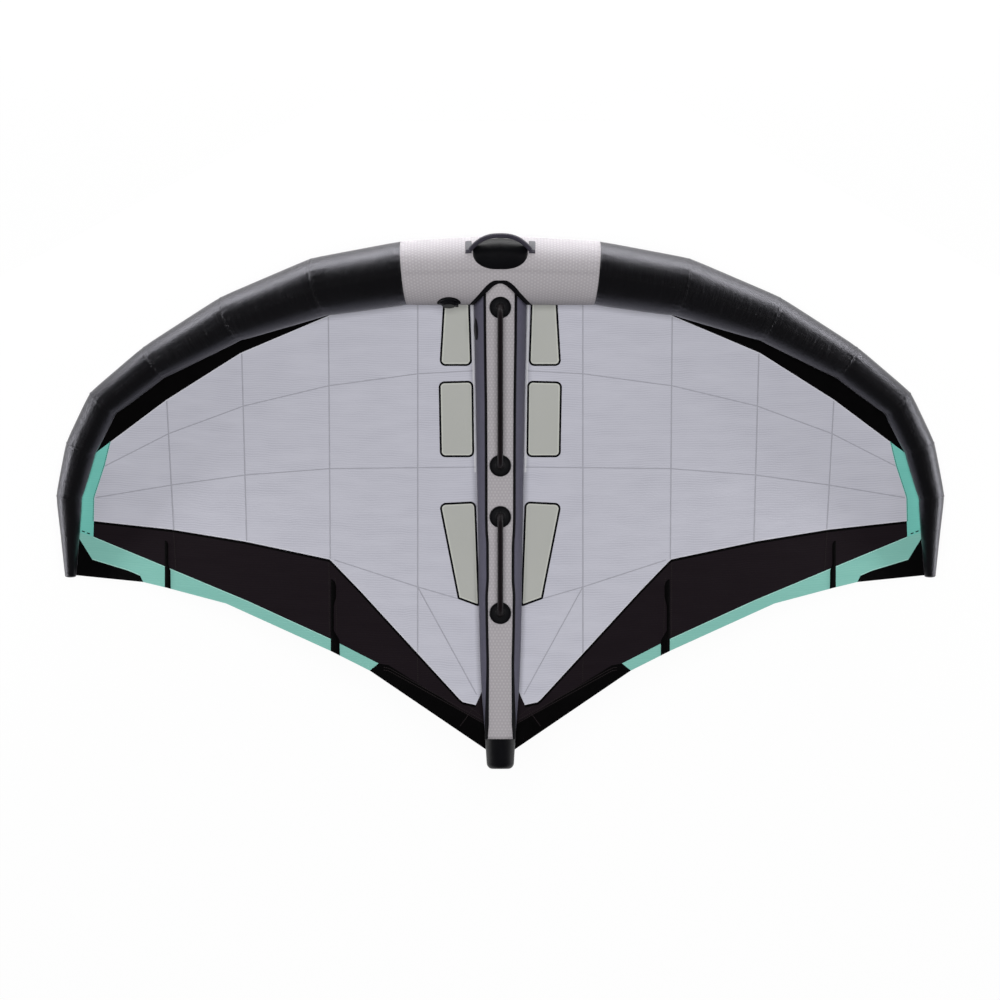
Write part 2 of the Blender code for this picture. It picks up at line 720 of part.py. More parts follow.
def build_strut(wing, front, tube_cutter):
    def seam(back):
        return GAP / strut_half_width(back)

    def strip_edges(back):
        return -strip_angle(back) + seam(back), strip_angle(back) - seam(back)

    def sleeve_edges(back):
        return strip_angle(back), math.tau - strip_angle(back)

    strip = strut_panel("strut_top_strip", "light_fabric", strip_edges, STRIP_STEPS, wing, front)
    sleeve = strut_panel("strut_sleeve", "slate_fabric", sleeve_edges, SLEEVE_STEPS, wing, front)
    for panel in (strip, sleeve):
        boolean(panel, tube_cutter, "DIFFERENCE")
    bladder = build_strut_bladder(wing, front)
    build_strut_cap(wing, front)
    return bladder


def build_strut_bladder(wing, front):
    ease = SLEEVE_WALL + BLADDER_EASE
    end = strut_stations()[-1] - STRUT_BLADDER_END_INSET
    backs = [back for back in strut_stations()[STRUT_BLADDER_SKIP_COUNT:] if back < end] + [end]
    outer = [strut_ring(back, front, -ease) for back in backs]
    inner_backs = [backs[0] + BLADDER_WALL] + backs[1:-1] + [backs[-1] - BLADDER_WALL]
    inner = [strut_ring(back, front, -ease - BLADDER_WALL) for back in inner_backs]
    return add_object("strut_bladder", hollow_loft(outer, inner, True, True), "clear_bladder", wing)


def build_strut_cap(wing, front):
    """Moulded cap that closes the strut's tail, tapered and round at its end."""
    start = strut_stations()[-1] + GAP
    half, half_height, middle = strut_section(start, front)
    rings = []
    straight = CAP_LENGTH - CAP_ROUND
    for k in range(2 + CAP_STEPS):
        if k == 0:
            run, share = 0.0, 1.0
        else:
            turn = math.pi / 2 * (k - 1) / CAP_STEPS
            run = straight + CAP_ROUND * math.sin(turn)
            taper = 1.0 - (1.0 - CAP_END_SHARE) * run / CAP_LENGTH
            share = taper * (1.0 - CAP_ROUND / half * (1.0 - math.cos(turn)))
        height = middle + canopy_height(0.0, start + run, front) - canopy_height(0.0, start, front)
        ring = []
        for j in range(STRUT_SIDES):
            angle = math.tau * j / STRUT_SIDES
            across = half * share * math.sin(angle)
            ring.append((across, -start - run, height + half_height * share * math.cos(angle)))
        rings.append(ring)
    return add_object("strut_end_cap", loft(rings), "black_plastic", wing)


def build_saddle(wing, front, tube_cutter):
    """Webbing on the seam where the strut meets the leading edge, narrower over the strut's crown."""
    stations = strut_stations()[:SADDLE_STATION_COUNT]
    skin = loft([strut_ring(back, front, GAP) for back in stations])
    narrow = add_cutter("strut_cutter", skin, wing)
    outline = loft([strut_ring(back, front, SADDLE_WIDTH) for back in stations])
    bmesh.ops.translate(outline, verts=outline.verts[:], vec=(0.0, 0.0, SADDLE_CROWN - SADDLE_WIDTH))
    wide = add_cutter("saddle_outline", outline, wing)
    bm = tube_solid(-CENTRE_SEAM, CENTRE_SEAM, GAP + SADDLE_THICKNESS)
    saddle = add_object("strut_saddle", bm, "black_webbing", wing)
    boolean(saddle, wide, "INTERSECT")
    boolean(saddle, tube_cutter, "DIFFERENCE")
    boolean(saddle, narrow, "DIFFERENCE")
    reach = TUBE_RADIUS * 2
    below = box((-reach, -reach, -reach), (reach, reach, SADDLE_LOW))
    boolean(saddle, add_cutter("saddle_low_cutter", below, wing), "DIFFERENCE")


def box(low, high, bm=None):
    bm = bm or bmesh.new()
    made = bmesh.ops.create_cube(bm, size=1.0)["verts"]
    size = [b - a for a, b in zip(low, high)]
    centre = [(a + b) / 2 for a, b in zip(low, high)]
    bmesh.ops.scale(bm, verts=made, vec=size)
    bmesh.ops.translate(bm, verts=made, vec=centre)
    return bm


# Handles on the strut

def handle_places():
    """Where each handle's two feet stand, as places back."""
    start = TUBE_RADIUS + FIRST_BASE_REACH
    front = (start, start + FRONT_HANDLE_LENGTH)
    second = front[1] + HANDLE_SPACING
    return {"front": front, "rear": (second, second + REAR_HANDLE_LENGTH)}


def build_handle(name, wing, front, skin_cutter):
    """Round rod on two bases; the bases sit on the strut's skin."""
    feet = []
    for number, back in enumerate(handle_places()[name], 1):
        top = strut_top(back, front)
        build_base(f"{name}_handle_base_{number}", back, top, wing, skin_cutter)
        feet.append(Vector((0.0, -back, top)))
    lift = Vector((0.0, 0.0, BASE_FOOT_HEIGHT + GAP))
    rail = Vector((0.0, 0.0, RAIL_HEIGHT))
    corners = [feet[0] + lift, feet[0] + rail, feet[1] + rail, feet[1] + lift]
    path = filleted(corners, ROD_BEND, ROD_BEND_STEPS)
    sections = []
    for point in path:
        foot = min((point - corners[0]).length, (point - corners[-1]).length)
        flare = max(0.0, 1.0 - foot / ROD_BEND)
        radius = ROD_RADIUS + (ROD_FOOT_RADIUS - ROD_RADIUS) * flare ** 2
        sections.append(circle(radius, ROD_SIDES, turn=0.5))
    add_object(f"{name}_handle_rod", loft(swept(path, sections)), "rod_composite", wing)


def filleted(corners, radius, steps):
    """Path through the corners with each inner corner rounded."""
    path = [corners[0]]
    for before, here, after in zip(corners, corners[1:], corners[2:]):
        into = (before - here).normalized()
        away = (after - here).normalized()
        half = into.angle(away) / 2
        centre = here + (into + away).normalized() * (radius / math.sin(half))
        start = here + into * (radius / math.tan(half)) - centre
        end = here + away * (radius / math.tan(half)) - centre
        for k in range(steps + 1):
            share = math.sin(math.pi / 2 * k / steps) ** 2
            path.append(centre + (start * (1.0 - share) + end * share).normalized() * radius)
    path.append(corners[-1])
    return path


def build_base(name, back, top, wing, skin_cutter):
    groove = BASE_RADIUS - BASE_RIM
    profile = [
        (BASE_RADIUS, -BASE_SKIRT),
        (BASE_RADIUS, BASE_RIM_HEIGHT - BASE_EDGE),
        (BASE_RADIUS - BASE_EDGE, BASE_RIM_HEIGHT),
        (groove + BASE_EDGE, BASE_RIM_HEIGHT),
        (groove, BASE_GROOVE_HEIGHT),
        (groove - BASE_EDGE, BASE_RIM_HEIGHT),
        (BASE_FOOT_RADIUS + BASE_EDGE, BASE_DISC_HEIGHT),
        (BASE_FOOT_RADIUS, BASE_FOOT_HEIGHT),
    ]
    base = add_object(name, turned_solid(profile, BASE_SIDES), "black_foam", wing)
    base.location = (0.0, -back, top)
    boolean(base, skin_cutter, "DIFFERENCE")


# Handle on the leading edge

def around_tube(across, angle, radius):
    """Point round the middle of the tube: the angle goes forward from the rider's side."""
    return Vector((across, radius * math.sin(angle), radius * math.cos(angle)))


def strap_rings(grow):
    foot = around_tube(0.0, STRAP_FOOT_ANGLE, TUBE_RADIUS - STRAP_FOOT_SINK)
    top = around_tube(0.0, STRAP_TOP_ANGLE, TUBE_RADIUS + STRAP_STANDOFF)
    out = (top - foot).normalized()
    rise = (top - foot).length
    broad = Vector((1.0, 0.0, 0.0)).cross(out)
    path = []
    for k in range(STRAP_STEPS + 1):
        t = -1.0 + 2.0 * k / STRAP_STEPS
        height = rise * (1.0 - abs(t) ** STRAP_ARCH_POWER)
        path.append(foot + Vector((STRAP_HALF * t, 0.0, 0.0)) + out * height)
    rings = []
    section = [
        (squared(a, STRAP_ROUND_SHARE), squared(b, STRAP_ROUND_SHARE)) for a, b in circle(1.0, STRAP_SIDES)]
    for i, point in enumerate(path):
        ahead = (path[min(i + 1, STRAP_STEPS)] - path[max(i - 1, 0)]).normalized()
        thick = ahead.cross(broad).normalized()
        wide = STRAP_WIDTH / 2 + grow
        deep = STRAP_THICKNESS / 2 + grow
        rings.append([point + broad * (a * wide) + thick * (b * deep) for a, b in section])
    return rings


def build_edge_handle(wing, tube_cutter):
    strap = add_object("leading_edge_handle_strap", loft(strap_rings(0.0)), "black_webbing", wing)
    boolean(strap, tube_cutter, "DIFFERENCE")
    strap_cutter = add_cutter("strap_cutter", loft(strap_rings(GAP)), wing)

    blank = tube_solid(-CENTRE_SEAM, CENTRE_SEAM, GAP + PAD_THICKNESS)
    pad = add_object("leading_edge_handle_pad", blank, "black_foam", wing)
    outline = []
    half_width = TUBE_RADIUS * math.sin(PAD_HALF_ANGLE)
    for a, b in circle(1.0, PAD_SIDES):
        outline.append((PAD_HALF * squared(a, PAD_ROUND_SHARE), half_width * squared(b, PAD_ROUND_SHARE)))
    rings = [[(x, y, z) for x, y in outline] for z in (0.0, TUBE_RADIUS + PAD_THICKNESS * 2)]
    shape = add_cutter("pad_outline", loft(rings), wing)
    shape.rotation_euler = (-PAD_ANGLE, 0.0, 0.0)
    boolean(pad, shape, "INTERSECT")
    boolean(pad, tube_cutter, "DIFFERENCE")
    boolean(pad, strap_cutter, "DIFFERENCE")

    for side_name, side in SIDES.items():
        inner = STRAP_HALF - TAB_LENGTH / 4
        build_tab(f"leading_edge_handle_tab_{side_name}", side, inner, wing, tube_cutter, strap_cutter)


def build_tab(name, side, inner, wing, tube_cutter, strap_cutter):
    """Sewn tab of webbing that holds down one end of the strap, curved to the tube."""
    tab = add_object(
        name, tube_solid(-CENTRE_SEAM, CENTRE_SEAM, GAP + TAB_THICKNESS), "grey_webbing", wing)
    middle = (TAB_LOW_ANGLE + TAB_HIGH_ANGLE) / 2
    half = TUBE_RADIUS * math.sin((TAB_HIGH_ANGLE - TAB_LOW_ANGLE) / 2)
    low = (min(inner * side, (inner + TAB_LENGTH) * side), -half, 0.0)
    high = (max(inner * side, (inner + TAB_LENGTH) * side), half, TUBE_RADIUS + TAB_THICKNESS * 2)
    outline = add_cutter(name + "_outline", box(low, high), wing)
    outline.rotation_euler = (-middle, 0.0, 0.0)
    boolean(tab, outline, "INTERSECT")
    boolean(tab, tube_cutter, "DIFFERENCE")
    boolean(tab, strap_cutter, "DIFFERENCE")


# Inflation valve

def valve_frame():
    """Matrix whose Z leaves the tube through the valve, with its zero on the tube's skin."""
    share = abs(VALVE_ACROSS) / (SEAM_ACROSS_SHARES[CENTRE_SEAM] * HALF_WIDTH)
    middle = seam_point(0).lerp(seam_point(-CENTRE_SEAM), share)
    radius = TUBE_RADIUS * (1.0 + share * (SEAM_RADIUS_SHARES[CENTRE_SEAM] - 1.0))
    out = Vector((0.0, -math.sin(VALVE_ANGLE), math.cos(VALVE_ANGLE)))
    across = Vector((1.0, 0.0, 0.0))
    third = out.cross(across)
    frame = Matrix((across, third, out)).transposed().to_4x4()
    frame.translation = middle + out * radius
    return frame


def rod_cutter(name, radius, low, high, frame, wing, sides=VALVE_SIDES):
    cutter = add_cutter(name, turned_solid([(radius, low), (radius, high)], sides), wing)
    cutter.matrix_local = frame
    return cutter


def ring_cutter(name, radius, ring, places, low, high, frame, wing):
    """Several rods in one cutter, their middles on a ring at the given turns."""
    bm = bmesh.new()
    for turn in places:
        x, y = ring * math.cos(turn), ring * math.sin(turn)
        outline = circle(radius, HOLE_SIDES)
        loft([[(x + a, y + b, z) for a, b in outline] for z in (low, high)], bm)
    cutter = add_cutter(name, bm, wing)
    cutter.matrix_local = frame
    return cutter


def build_valve(wing, centre_panel, bladder, tube_cutter):
    frame = valve_frame()
    reach = TUBE_RADIUS / 2
    hole = rod_cutter("valve_hole_cutter", NECK_RADIUS + GAP, -reach, reach, frame, wing)
    boolean(centre_panel, hole, "DIFFERENCE")
    boolean(bladder, hole, "DIFFERENCE")

    base = add_object(
        "valve_base", tube_solid(-CENTRE_SEAM, CENTRE_SEAM, GAP + VALVE_FLANGE), "valve_white", wing)
    flange = rod_cutter("valve_flange_outline", VALVE_FLANGE_RADIUS, -reach, reach, frame, wing)
    boolean(base, flange, "INTERSECT")
    boolean(base, tube_cutter, "DIFFERENCE")
    neck = rod_cutter("valve_neck_former", NECK_RADIUS, -NECK_DEPTH, NECK_HEIGHT, frame, wing)
    boolean(base, neck, "UNION")
    boolean(base, rod_cutter("valve_bore_cutter", NECK_BORE, -reach, reach, frame, wing), "DIFFERENCE")

    seat = NECK_HEIGHT + GAP
    build_valve_body(frame, seat, wing)
    build_poppet(frame, seat, wing)
    build_valve_cap(frame, seat, wing)


def build_valve_body(frame, seat, wing):
    """Quarter-turn body: flange, skirt, seat for the poppet and a guide for its stem."""
    top = seat + BODY_FLANGE
    guide_top = seat - GUIDE_DEPTH
    guide_low = guide_top - GUIDE_THICKNESS
    profile = [
        (BODY_RADIUS, guide_low - GUIDE_SKIRT),
        (BODY_RADIUS, seat),
        (BODY_FLANGE_RADIUS, seat),
        (BODY_FLANGE_RADIUS, top),
        (BODY_BORE, top),
        (BODY_BORE, seat - SEAT_HIGH),
        (SEAT_BORE, seat - SEAT_HIGH),
        (SEAT_BORE, seat - SEAT_LOW),
        (BODY_BORE, seat - SEAT_LOW),
        (BODY_BORE, guide_top),
        (STEM_RADIUS + STEM_CLEARANCE, guide_top),
        (STEM_RADIUS + STEM_CLEARANCE, guide_low),
        (BODY_BORE, guide_low),
        (BODY_BORE, guide_low - GUIDE_SKIRT),
    ]
    body = add_object("valve_body", turned(profile, VALVE_SIDES), "black_plastic", wing)
    body.matrix_local = frame
    lugs = bmesh.new()
    for end in (-1.0, 1.0):
        inner = end * (TONGUE_WIDTH / 2 + GAP)
        outer = end * (TONGUE_WIDTH / 2 + GAP + LUG_THICKNESS)
        low = (BODY_FLANGE_RADIUS - LUG_REACH, min(inner, outer), seat + BODY_FLANGE / 4)
        high = (KNUCKLE_REACH + KNUCKLE_RADIUS, max(inner, outer), top + KNUCKLE_RADIUS * 2)
        box(low, high, lugs)
    former = add_cutter("hinge_lugs_former", lugs, wing)
    former.matrix_local = frame
    boolean(body, former, "UNION")
    turns = [math.tau * k / GUIDE_HOLES for k in range(GUIDE_HOLES)]
    low, high = guide_low - GUIDE_THICKNESS, guide_top + POPPET_CLEARANCE
    holes = ring_cutter("guide_holes_cutter", GUIDE_HOLE, GUIDE_HOLE_RING, turns, low, high, frame, wing)
    boolean(body, holes, "DIFFERENCE")
    turns = [math.tau * (k + 0.5) / GRIP_NOTCHES for k in range(GRIP_NOTCHES)]
    rim = BODY_FLANGE_RADIUS
    notches = ring_cutter("grip_notches_cutter", GRIP_NOTCH, rim, turns, 0.0, top * 2, frame, wing)
    boolean(body, notches, "DIFFERENCE")


def build_poppet(frame, seat, wing):
    """Non-return disc under its seat, on a stem that the guide carries."""
    disc_top = seat - SEAT_LOW - POPPET_DROP
    profile = [
        (STEM_RADIUS, seat - GUIDE_DEPTH - GUIDE_THICKNESS - STEM_OVERRUN),
        (STEM_RADIUS, disc_top - POPPET_DISC),
        (POPPET_RADIUS, disc_top - POPPET_DISC),
        (POPPET_RADIUS, disc_top),
        (STEM_RADIUS, disc_top),
        (STEM_RADIUS, disc_top + STEM_RISE),
    ]
    poppet = add_object("valve_poppet", turned_solid(profile, VALVE_SIDES), "valve_white", wing)
    poppet.matrix_local = frame


def build_valve_cap(frame, seat, wing):
    """Cap with its plug, tongue and knuckle; its origin is on the hinge."""
    hinge_height = seat + BODY_FLANGE + KNUCKLE_RADIUS
    hinge = Matrix.Translation((KNUCKLE_REACH - KNUCKLE_RADIUS, 0.0, hinge_height))
    low = seat + BODY_FLANGE + GAP - hinge_height
    shift = Matrix.Translation((-(KNUCKLE_REACH - KNUCKLE_RADIUS), 0.0, 0.0))
    profile = [
        (PLUG_RADIUS, low - PLUG_DEPTH),
        (PLUG_RADIUS, low),
        (CAP_RADIUS, low),
        (CAP_RADIUS, low + CAP_HEIGHT - CAP_EDGE),
        (CAP_RADIUS - CAP_EDGE, low + CAP_HEIGHT),
    ]
    bm = turned_solid(profile, VALVE_SIDES)
    bmesh.ops.transform(bm, matrix=shift, verts=bm.verts[:])
    cap = add_object("valve_cap", bm, "black_plastic", wing)
    cap.matrix_local = frame @ hinge
    half = TONGUE_WIDTH / 2
    tongue = box(
        (CAP_EDGE + CAP_RADIUS / 2 - KNUCKLE_REACH, -half, low), (0.0, half, low + TONGUE_THICKNESS))
    tongue_former = add_cutter("cap_tongue_former", tongue, wing)
    tongue_former.matrix_local = frame @ hinge
    boolean(cap, tongue_former, "UNION")
    knuckle = loft([[(x, y, z) for x, z in circle(KNUCKLE_RADIUS, KNUCKLE_SIDES)] for y in (-half, half)])
    knuckle_former = add_cutter("cap_knuckle_former", knuckle, wing)
    knuckle_former.matrix_local = frame @ hinge
    boolean(cap, knuckle_former, "UNION")


# Link between the bladders

def build_link(wing, front, centre_panel, bladder, strut_bladder, skin_cutter):
    """Pipe from the tube's bladder into the strut's, and the low cover over its clamp."""
    aft = Matrix.Rotation(math.pi / 2, 4, "X")
    start = TUBE_RADIUS - LINK_REACH
    end = strut_stations()[STRUT_BLADDER_SKIP_COUNT] + LINK_REACH
    reach = end + LINK_REACH
    hole = rod_cutter("link_hole_cutter", LINK_RADIUS + GAP, start / 2, reach, aft, wing, LINK_SIDES)
    for pierced in (centre_panel, bladder, strut_bladder):
        boolean(pierced, hole, "DIFFERENCE")
    profile = [(LINK_RADIUS, start), (LINK_RADIUS, end), (LINK_BORE, end), (LINK_BORE, start)]
    pipe = add_object("bladder_link_pipe", turned(profile, LINK_SIDES), "clear_bladder", wing)
    pipe.matrix_local = aft

    outline = circle(CLAMP_LENGTH / 2, CLAMP_SIDES, CLAMP_WIDTH / CLAMP_LENGTH)
    rings = [[(x, y, -CLAMP_HEIGHT) for x, y in outline]]
    for k in range(CLAMP_STEPS):
        turn = math.pi / 2 * k / CLAMP_STEPS
        height = CLAMP_HEIGHT * math.sin(turn)
        rings.append([(x * math.cos(turn), y * math.cos(turn), height) for x, y in outline])
    cover = add_object("bladder_link_cover", loft(rings), "black_plastic", wing)
    here = strut_point(CLAMP_BACK, CLAMP_ANGLE, front)
    along = Vector((0.0, -1.0, 0.0))
    step = strut_point(CLAMP_BACK, CLAMP_ANGLE + CLAMP_ANGLE_STEP, front) - here
    across = (step - along * step.dot(along)).normalized()
    out = along.cross(across)
    if out.dot(here - strut_middle(CLAMP_BACK, front)) < 0.0:
        across = -across
        out = -out
    place = Matrix((along, across, out)).transposed().to_4x4()
    place.translation = here
    cover.matrix_local = place
    boolean(cover, skin_cutter, "DIFFERENCE")


def settle(wing):
    """Puts the pitched wing on the ground with its middle over zero."""
    bpy.context.view_layer.update()
    graph = bpy.context.evaluated_depsgraph_get()
    corners = []
    for thing in bpy.data.objects:
        if thing.type != "MESH" or thing.hide_render:
            continue
        shown = thing.evaluated_get(graph)
        mesh = shown.to_mesh()
        corners += [shown.matrix_world @ vert.co for vert in mesh.vertices]
        shown.to_mesh_clear()
    low = [min(c[k] for c in corners) for k in range(3)]
    high = [max(c[k] for c in corners) for k in range(3)]
    wing.location = (-(low[0] + high[0]) / 2, -(low[1] + high[1]) / 2, -low[2])
    bpy.context.view_layer.update()


def main():
    clear_scene()
    wing = bpy.data.objects.new("wing_frame", None)
    bpy.context.collection.objects.link(wing)
    wing.rotation_euler = (-REST_PITCH, 0.0, 0.0)

    front = attach_points()
    tube_cutter = add_cutter("tube_cutter", tube_solid(-CENTRE_SEAM, CENTRE_SEAM, GAP), wing)
    rings = [strut_ring(back, front, GAP) for back in strut_stations()]
    skin_cutter = add_cutter("strut_skin_cutter", loft(rings), wing)

    centre_panel = build_leading_edge(wing)
    bladder = build_tube_bladder(wing)
    build_canopy(wing, front)
    strut_bladder = build_strut(wing, front, tube_cutter)
    build_saddle(wing, front, tube_cutter)
    for name in handle_places():
        build_handle(name, wing, front, skin_cutter)
    build_edge_handle(wing, tube_cutter)
    build_valve(wing, centre_panel, bladder, tube_cutter)
    build_link(wing, front, centre_panel, bladder, strut_bladder, skin_cutter)
    settle(wing)


main()
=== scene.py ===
import math
import bmesh
import bpy
from mathutils import Matrix, Vector


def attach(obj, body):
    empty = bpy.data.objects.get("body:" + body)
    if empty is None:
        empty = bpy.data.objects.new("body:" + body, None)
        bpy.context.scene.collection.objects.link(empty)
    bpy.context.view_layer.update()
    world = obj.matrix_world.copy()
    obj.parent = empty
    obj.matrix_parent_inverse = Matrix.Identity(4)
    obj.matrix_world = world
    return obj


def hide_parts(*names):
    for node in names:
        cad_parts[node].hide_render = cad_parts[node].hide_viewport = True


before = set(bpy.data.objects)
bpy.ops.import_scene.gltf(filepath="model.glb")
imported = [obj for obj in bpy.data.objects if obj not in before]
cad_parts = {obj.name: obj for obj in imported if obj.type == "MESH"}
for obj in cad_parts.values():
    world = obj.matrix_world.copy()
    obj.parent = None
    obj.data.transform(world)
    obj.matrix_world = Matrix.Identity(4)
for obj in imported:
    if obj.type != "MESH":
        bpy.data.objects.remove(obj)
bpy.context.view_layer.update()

# The wing's own frame: +X along the span, +Y to the leading edge, +Z to the rider
HALF_WIDTH = 1.5
REST_PITCH = math.radians(11.3)
TUBE_MIDDLE = (0.0, 0.748171, 0.188995)
WING = Matrix.Translation(TUBE_MIDDLE) @ Matrix.Rotation(-REST_PITCH, 4, "X")

# Leading edge, seam by seam from the middle to the tip
TIP_DROP = 0.3
TUBE_RADIUS = 0.116
SEAM_ACROSS_SHARES = (0.0, 0.216, 0.408, 0.606, 0.778, 0.8935, 0.943, 0.97, 0.968, 0.967)
SEAM_BACK_SHARES = (0.0, 0.007, 0.038, 0.109, 0.206, 0.298, 0.398, 0.509, 0.585, 0.686)
SEAM_RADIUS_SHARES = (1.0, 0.928, 0.864, 0.699, 0.551, 0.484, 0.464, 0.383, 0.29, 0.165)
SEAM_DROP_SHARES = (0.0, 0.04, 0.167, 0.383, 0.633, 0.752, 0.859, 0.91, 0.952, 1.0)
TIP_SEAM = 9
CENTRE_SEAM = 1
LAST_PANEL = 7
REST_SEAM = 4
RESTING_SEAMS = (5, 6)
TUBE_COLUMNS = 160
BLADDER_ROWS = 16
BLADDER_COLUMNS = 64
BLADDER_INSET = 0.007
TUBE_ROWS = 26
TIP_ROWS = 8
TIP_DOME_SHARE = 0.3
SEAM_RIDGE = 0.0009
SEAM_RIDGE_WIDTH = 0.005
SEAM_WAIST = 0.0016
SEAM_WAIST_REACH = 0.018
PUCKER = 0.0011
PUCKER_REACH = 0.016
PUCKER_PITCH = 0.026
FABRIC = 0.0008

# Canopy
CANOPY_THICKNESS = 0.001
CANOPY_CLEARANCE = 0.001
ATTACH_SHARE = 0.4
CAMBER_SHARE = 0.035
CAMBER_PEAK_RATIO = 27 / 4
TAIL_RISE = 0.02
TIP_EDGE_DROP = 0.318
TRAILING_TWIST_POWER = 1.3
CANOPY_CELL = 0.022
CORNER_STEPS = 7
JOIN_WIDTH = 0.006
JOIN_RISE = 0.0004
JOIN_SINK = 0.004
MERGE = 0.00001
CLOTH_MERGE = 0.0001
FILM = 0.0004
PATCH_CLOTH = 0.0006
WINDOW_CORNER = 0.017
WINDOW_POINT = 0.004
WINDOW_LEAST_CORNER = 0.002
WINDOW_RIM = 0.009
WINDOW_GAP = 0.0004
WINDOW_SINK = 0.0002
WINDOW_TAPE_RISE = 0.0009
WINDOW_TAPE_OUT = 0.0024
WINDOW_TAPE_IN = 0.0045
ENTRY_START_SHARE = 0.243


def plan(*shares):
    """Points (across, back) in metres, from their shares of half the span in the photo."""
    return [(across * HALF_WIDTH, back * HALF_WIDTH) for across, back in shares]


TRAILING_EDGE = plan(
    (0.0, 1.096), (0.033, 1.074), (0.293, 0.898), (0.383, 0.853), (0.616, 0.748), (0.749, 0.713),
    (0.803, 0.7), (0.954, 0.685))
ENTRY_LINE = plan((0.387, 0.102), (0.584, 0.185), (0.751, 0.29), (0.877, 0.384))
TIP_STRIP_TOP = plan((0.936, 0.428))
TIP_STRIP_LINE = plan((0.89, 0.437), (0.914, 0.51), (0.915, 0.563))
TRAILING_CORNER = plan((0.916, 0.598))
PANEL_LINE = plan(
    (0.739, 0.582), (0.573, 0.609), (0.383, 0.649), (0.315, 0.719), (0.086, 0.968), (0.055, 0.975),
    (0.037, 0.935), (0.0, 0.92))
PATCH_LINE = plan((0.0, 1.03), (0.04, 1.012), (0.09, 0.985), (0.25, 0.886), (0.273, 0.882))
STRIP_LINE = plan((0.383, 0.826), (0.57, 0.741), (0.758, 0.663))
TIP_PATCH = plan((0.918, 0.65), (0.835, 0.675), (0.81, 0.686))
WINDOWS = {
    "front": plan((0.126, 0.058), (0.07, 0.058), (0.065, 0.213), (0.135, 0.213)),
    "middle": plan((0.137, 0.251), (0.062, 0.249), (0.06, 0.418), (0.134, 0.418)),
    "rear": plan((0.136, 0.524), (0.056, 0.52), (0.0475, 0.753), (0.094, 0.736)),
}
WINDOW_CORNERS = {
    "front": (WINDOW_POINT, WINDOW_POINT, WINDOW_CORNER, WINDOW_CORNER),
    "middle": (WINDOW_CORNER, WINDOW_CORNER, WINDOW_CORNER, WINDOW_CORNER),
    "rear": (WINDOW_CORNER, WINDOW_CORNER, WINDOW_POINT, WINDOW_POINT),
}
SEAM_LINES = [
    plan((0.1853, 0.06), (0.1853, 0.7104), (0.1853, 0.859)),
    plan((0.3861, 0.103), (0.3817, 0.648)),
    plan((0.5811, 0.184), (0.5699, 0.608)),
    plan((0.7503, 0.29), (0.7342, 0.582)),
    plan((0.0619, 0.2255), (0.1853, 0.232), (0.3593, 0.2555), (0.3839, 0.2584), (0.5766, 0.3041),
         (0.7456, 0.366), (0.8897, 0.439)),
    plan((0.055, 0.4415), (0.3821, 0.4451), (0.5744, 0.4594), (0.7389, 0.4818), (0.9106, 0.5101)),
    plan((0.372, 0.65), (0.1853, 0.7104), (0.0939, 0.7369)),
    plan((0.1853, 0.7104), (0.0529, 0.9518)),
]
STRAIGHT_SEAMS = 4
SEAM_TAPE = 0.0046
CROSS_SEAM_TAPE = 0.0036
SEAM_TAPE_RISE = 0.0006
TAPE_STEP = 0.015
TAPE_LEAST_ROWS = 4
BLACK_HEM = 0.0075
PALE_HEM = 0.0028
THREAD_LINE = 0.0024
# Bright strip laid beside the strut: painted light on the canopy next to the strut.
PAINTED_LIGHT_STRIP_WIDTH = 0.006
PAINTED_LIGHT_STRIP_BACKS = (0.105, 0.2, 0.3, 0.4, 0.5, 0.6, 0.68)
TACK_WIDTH = 0.0035
STITCHED_LINES = [
    plan((0.029, 1.0145), (0.25, 0.8925), (0.262, 0.8905)),
    plan((0.029, 1.0205), (0.25, 0.8985), (0.262, 0.8965)),
    plan((0.042, 1.0), (0.078, 0.9725)),
    plan((0.062, 0.984), (0.09, 1.022)),
    plan((0.3845, 0.655), (0.3835, 0.82)),
    plan((0.37, 0.69), (0.366, 0.832)),
    plan((0.7345, 0.586), (0.729, 0.672)),
    plan((0.1853, 0.868), (0.1845, 0.925)),
]
TACKS = [plan((0.9419, 0.5849), (0.9352, 0.5876)), plan((0.9307, 0.5894), (0.924, 0.5916))]
POCKET_RISE = 0.0035
POCKET_CLOTH = 0.0007
POCKET_FULL_WIDTH = 0.01
POCKET_CLEARANCE = 0.0008
POCKET_TOPS = dict(zip(("inner", "outer"), plan((0.3805, 0.6935), (0.7545, 0.607))))
POCKET_PROFILES = {
    "inner": ((0.0, 0.035, 0.09, 0.24, 0.36, 0.7, 0.8, 1.0),
              (0.004, 0.014, 0.018, 0.018, 0.0105, 0.0105, 0.03, 0.031)),
    "outer": ((0.0, 0.04, 0.1, 0.5, 0.62, 1.0),
              (0.004, 0.01, 0.012, 0.012, 0.0195, 0.0205)),
}

# Strut
STRUT_HEAD_SHARE = 0.304
STRUT_BACK_SHARES = (0.06, 0.098, 0.18, 0.3, 0.426, 0.53, 0.632, 0.74, 0.85, 0.941, 1.0505)
STRUT_WIDTH_SHARES = (0.768, 0.768, 0.763, 0.74, 0.71, 0.681, 0.659, 0.637, 0.623, 0.588, 0.544, 0.432)
HEAD_HEIGHT_RATIO = 1.19
TAIL_HEIGHT_RATIO = 1.00
STRUT_CLEARANCE = 0.0014
STRIP_BACK_SHARES = (0.049, 0.155, 0.3, 0.45, 0.552, 0.587, 0.612, 0.695, 0.728, 0.795, 0.885, 0.96, 1.05)
STRIP_HALVES = (
    0.0525, 0.0513, 0.0484, 0.0474, 0.0472, 0.046, 0.043, 0.0424, 0.0462, 0.045, 0.042, 0.044, 0.0477)
PIPING_BACK_SHARES = (0.049, 0.9, 1.05)
PIPING_WIDTHS = (0.0088, 0.0088, 0.015)
PIPING_RISE = 0.0022
STRIP_MOST_SHARE = 0.965
STRUT_BLADDER_ROUND = 0.05
STRUT_EASE = 0.03
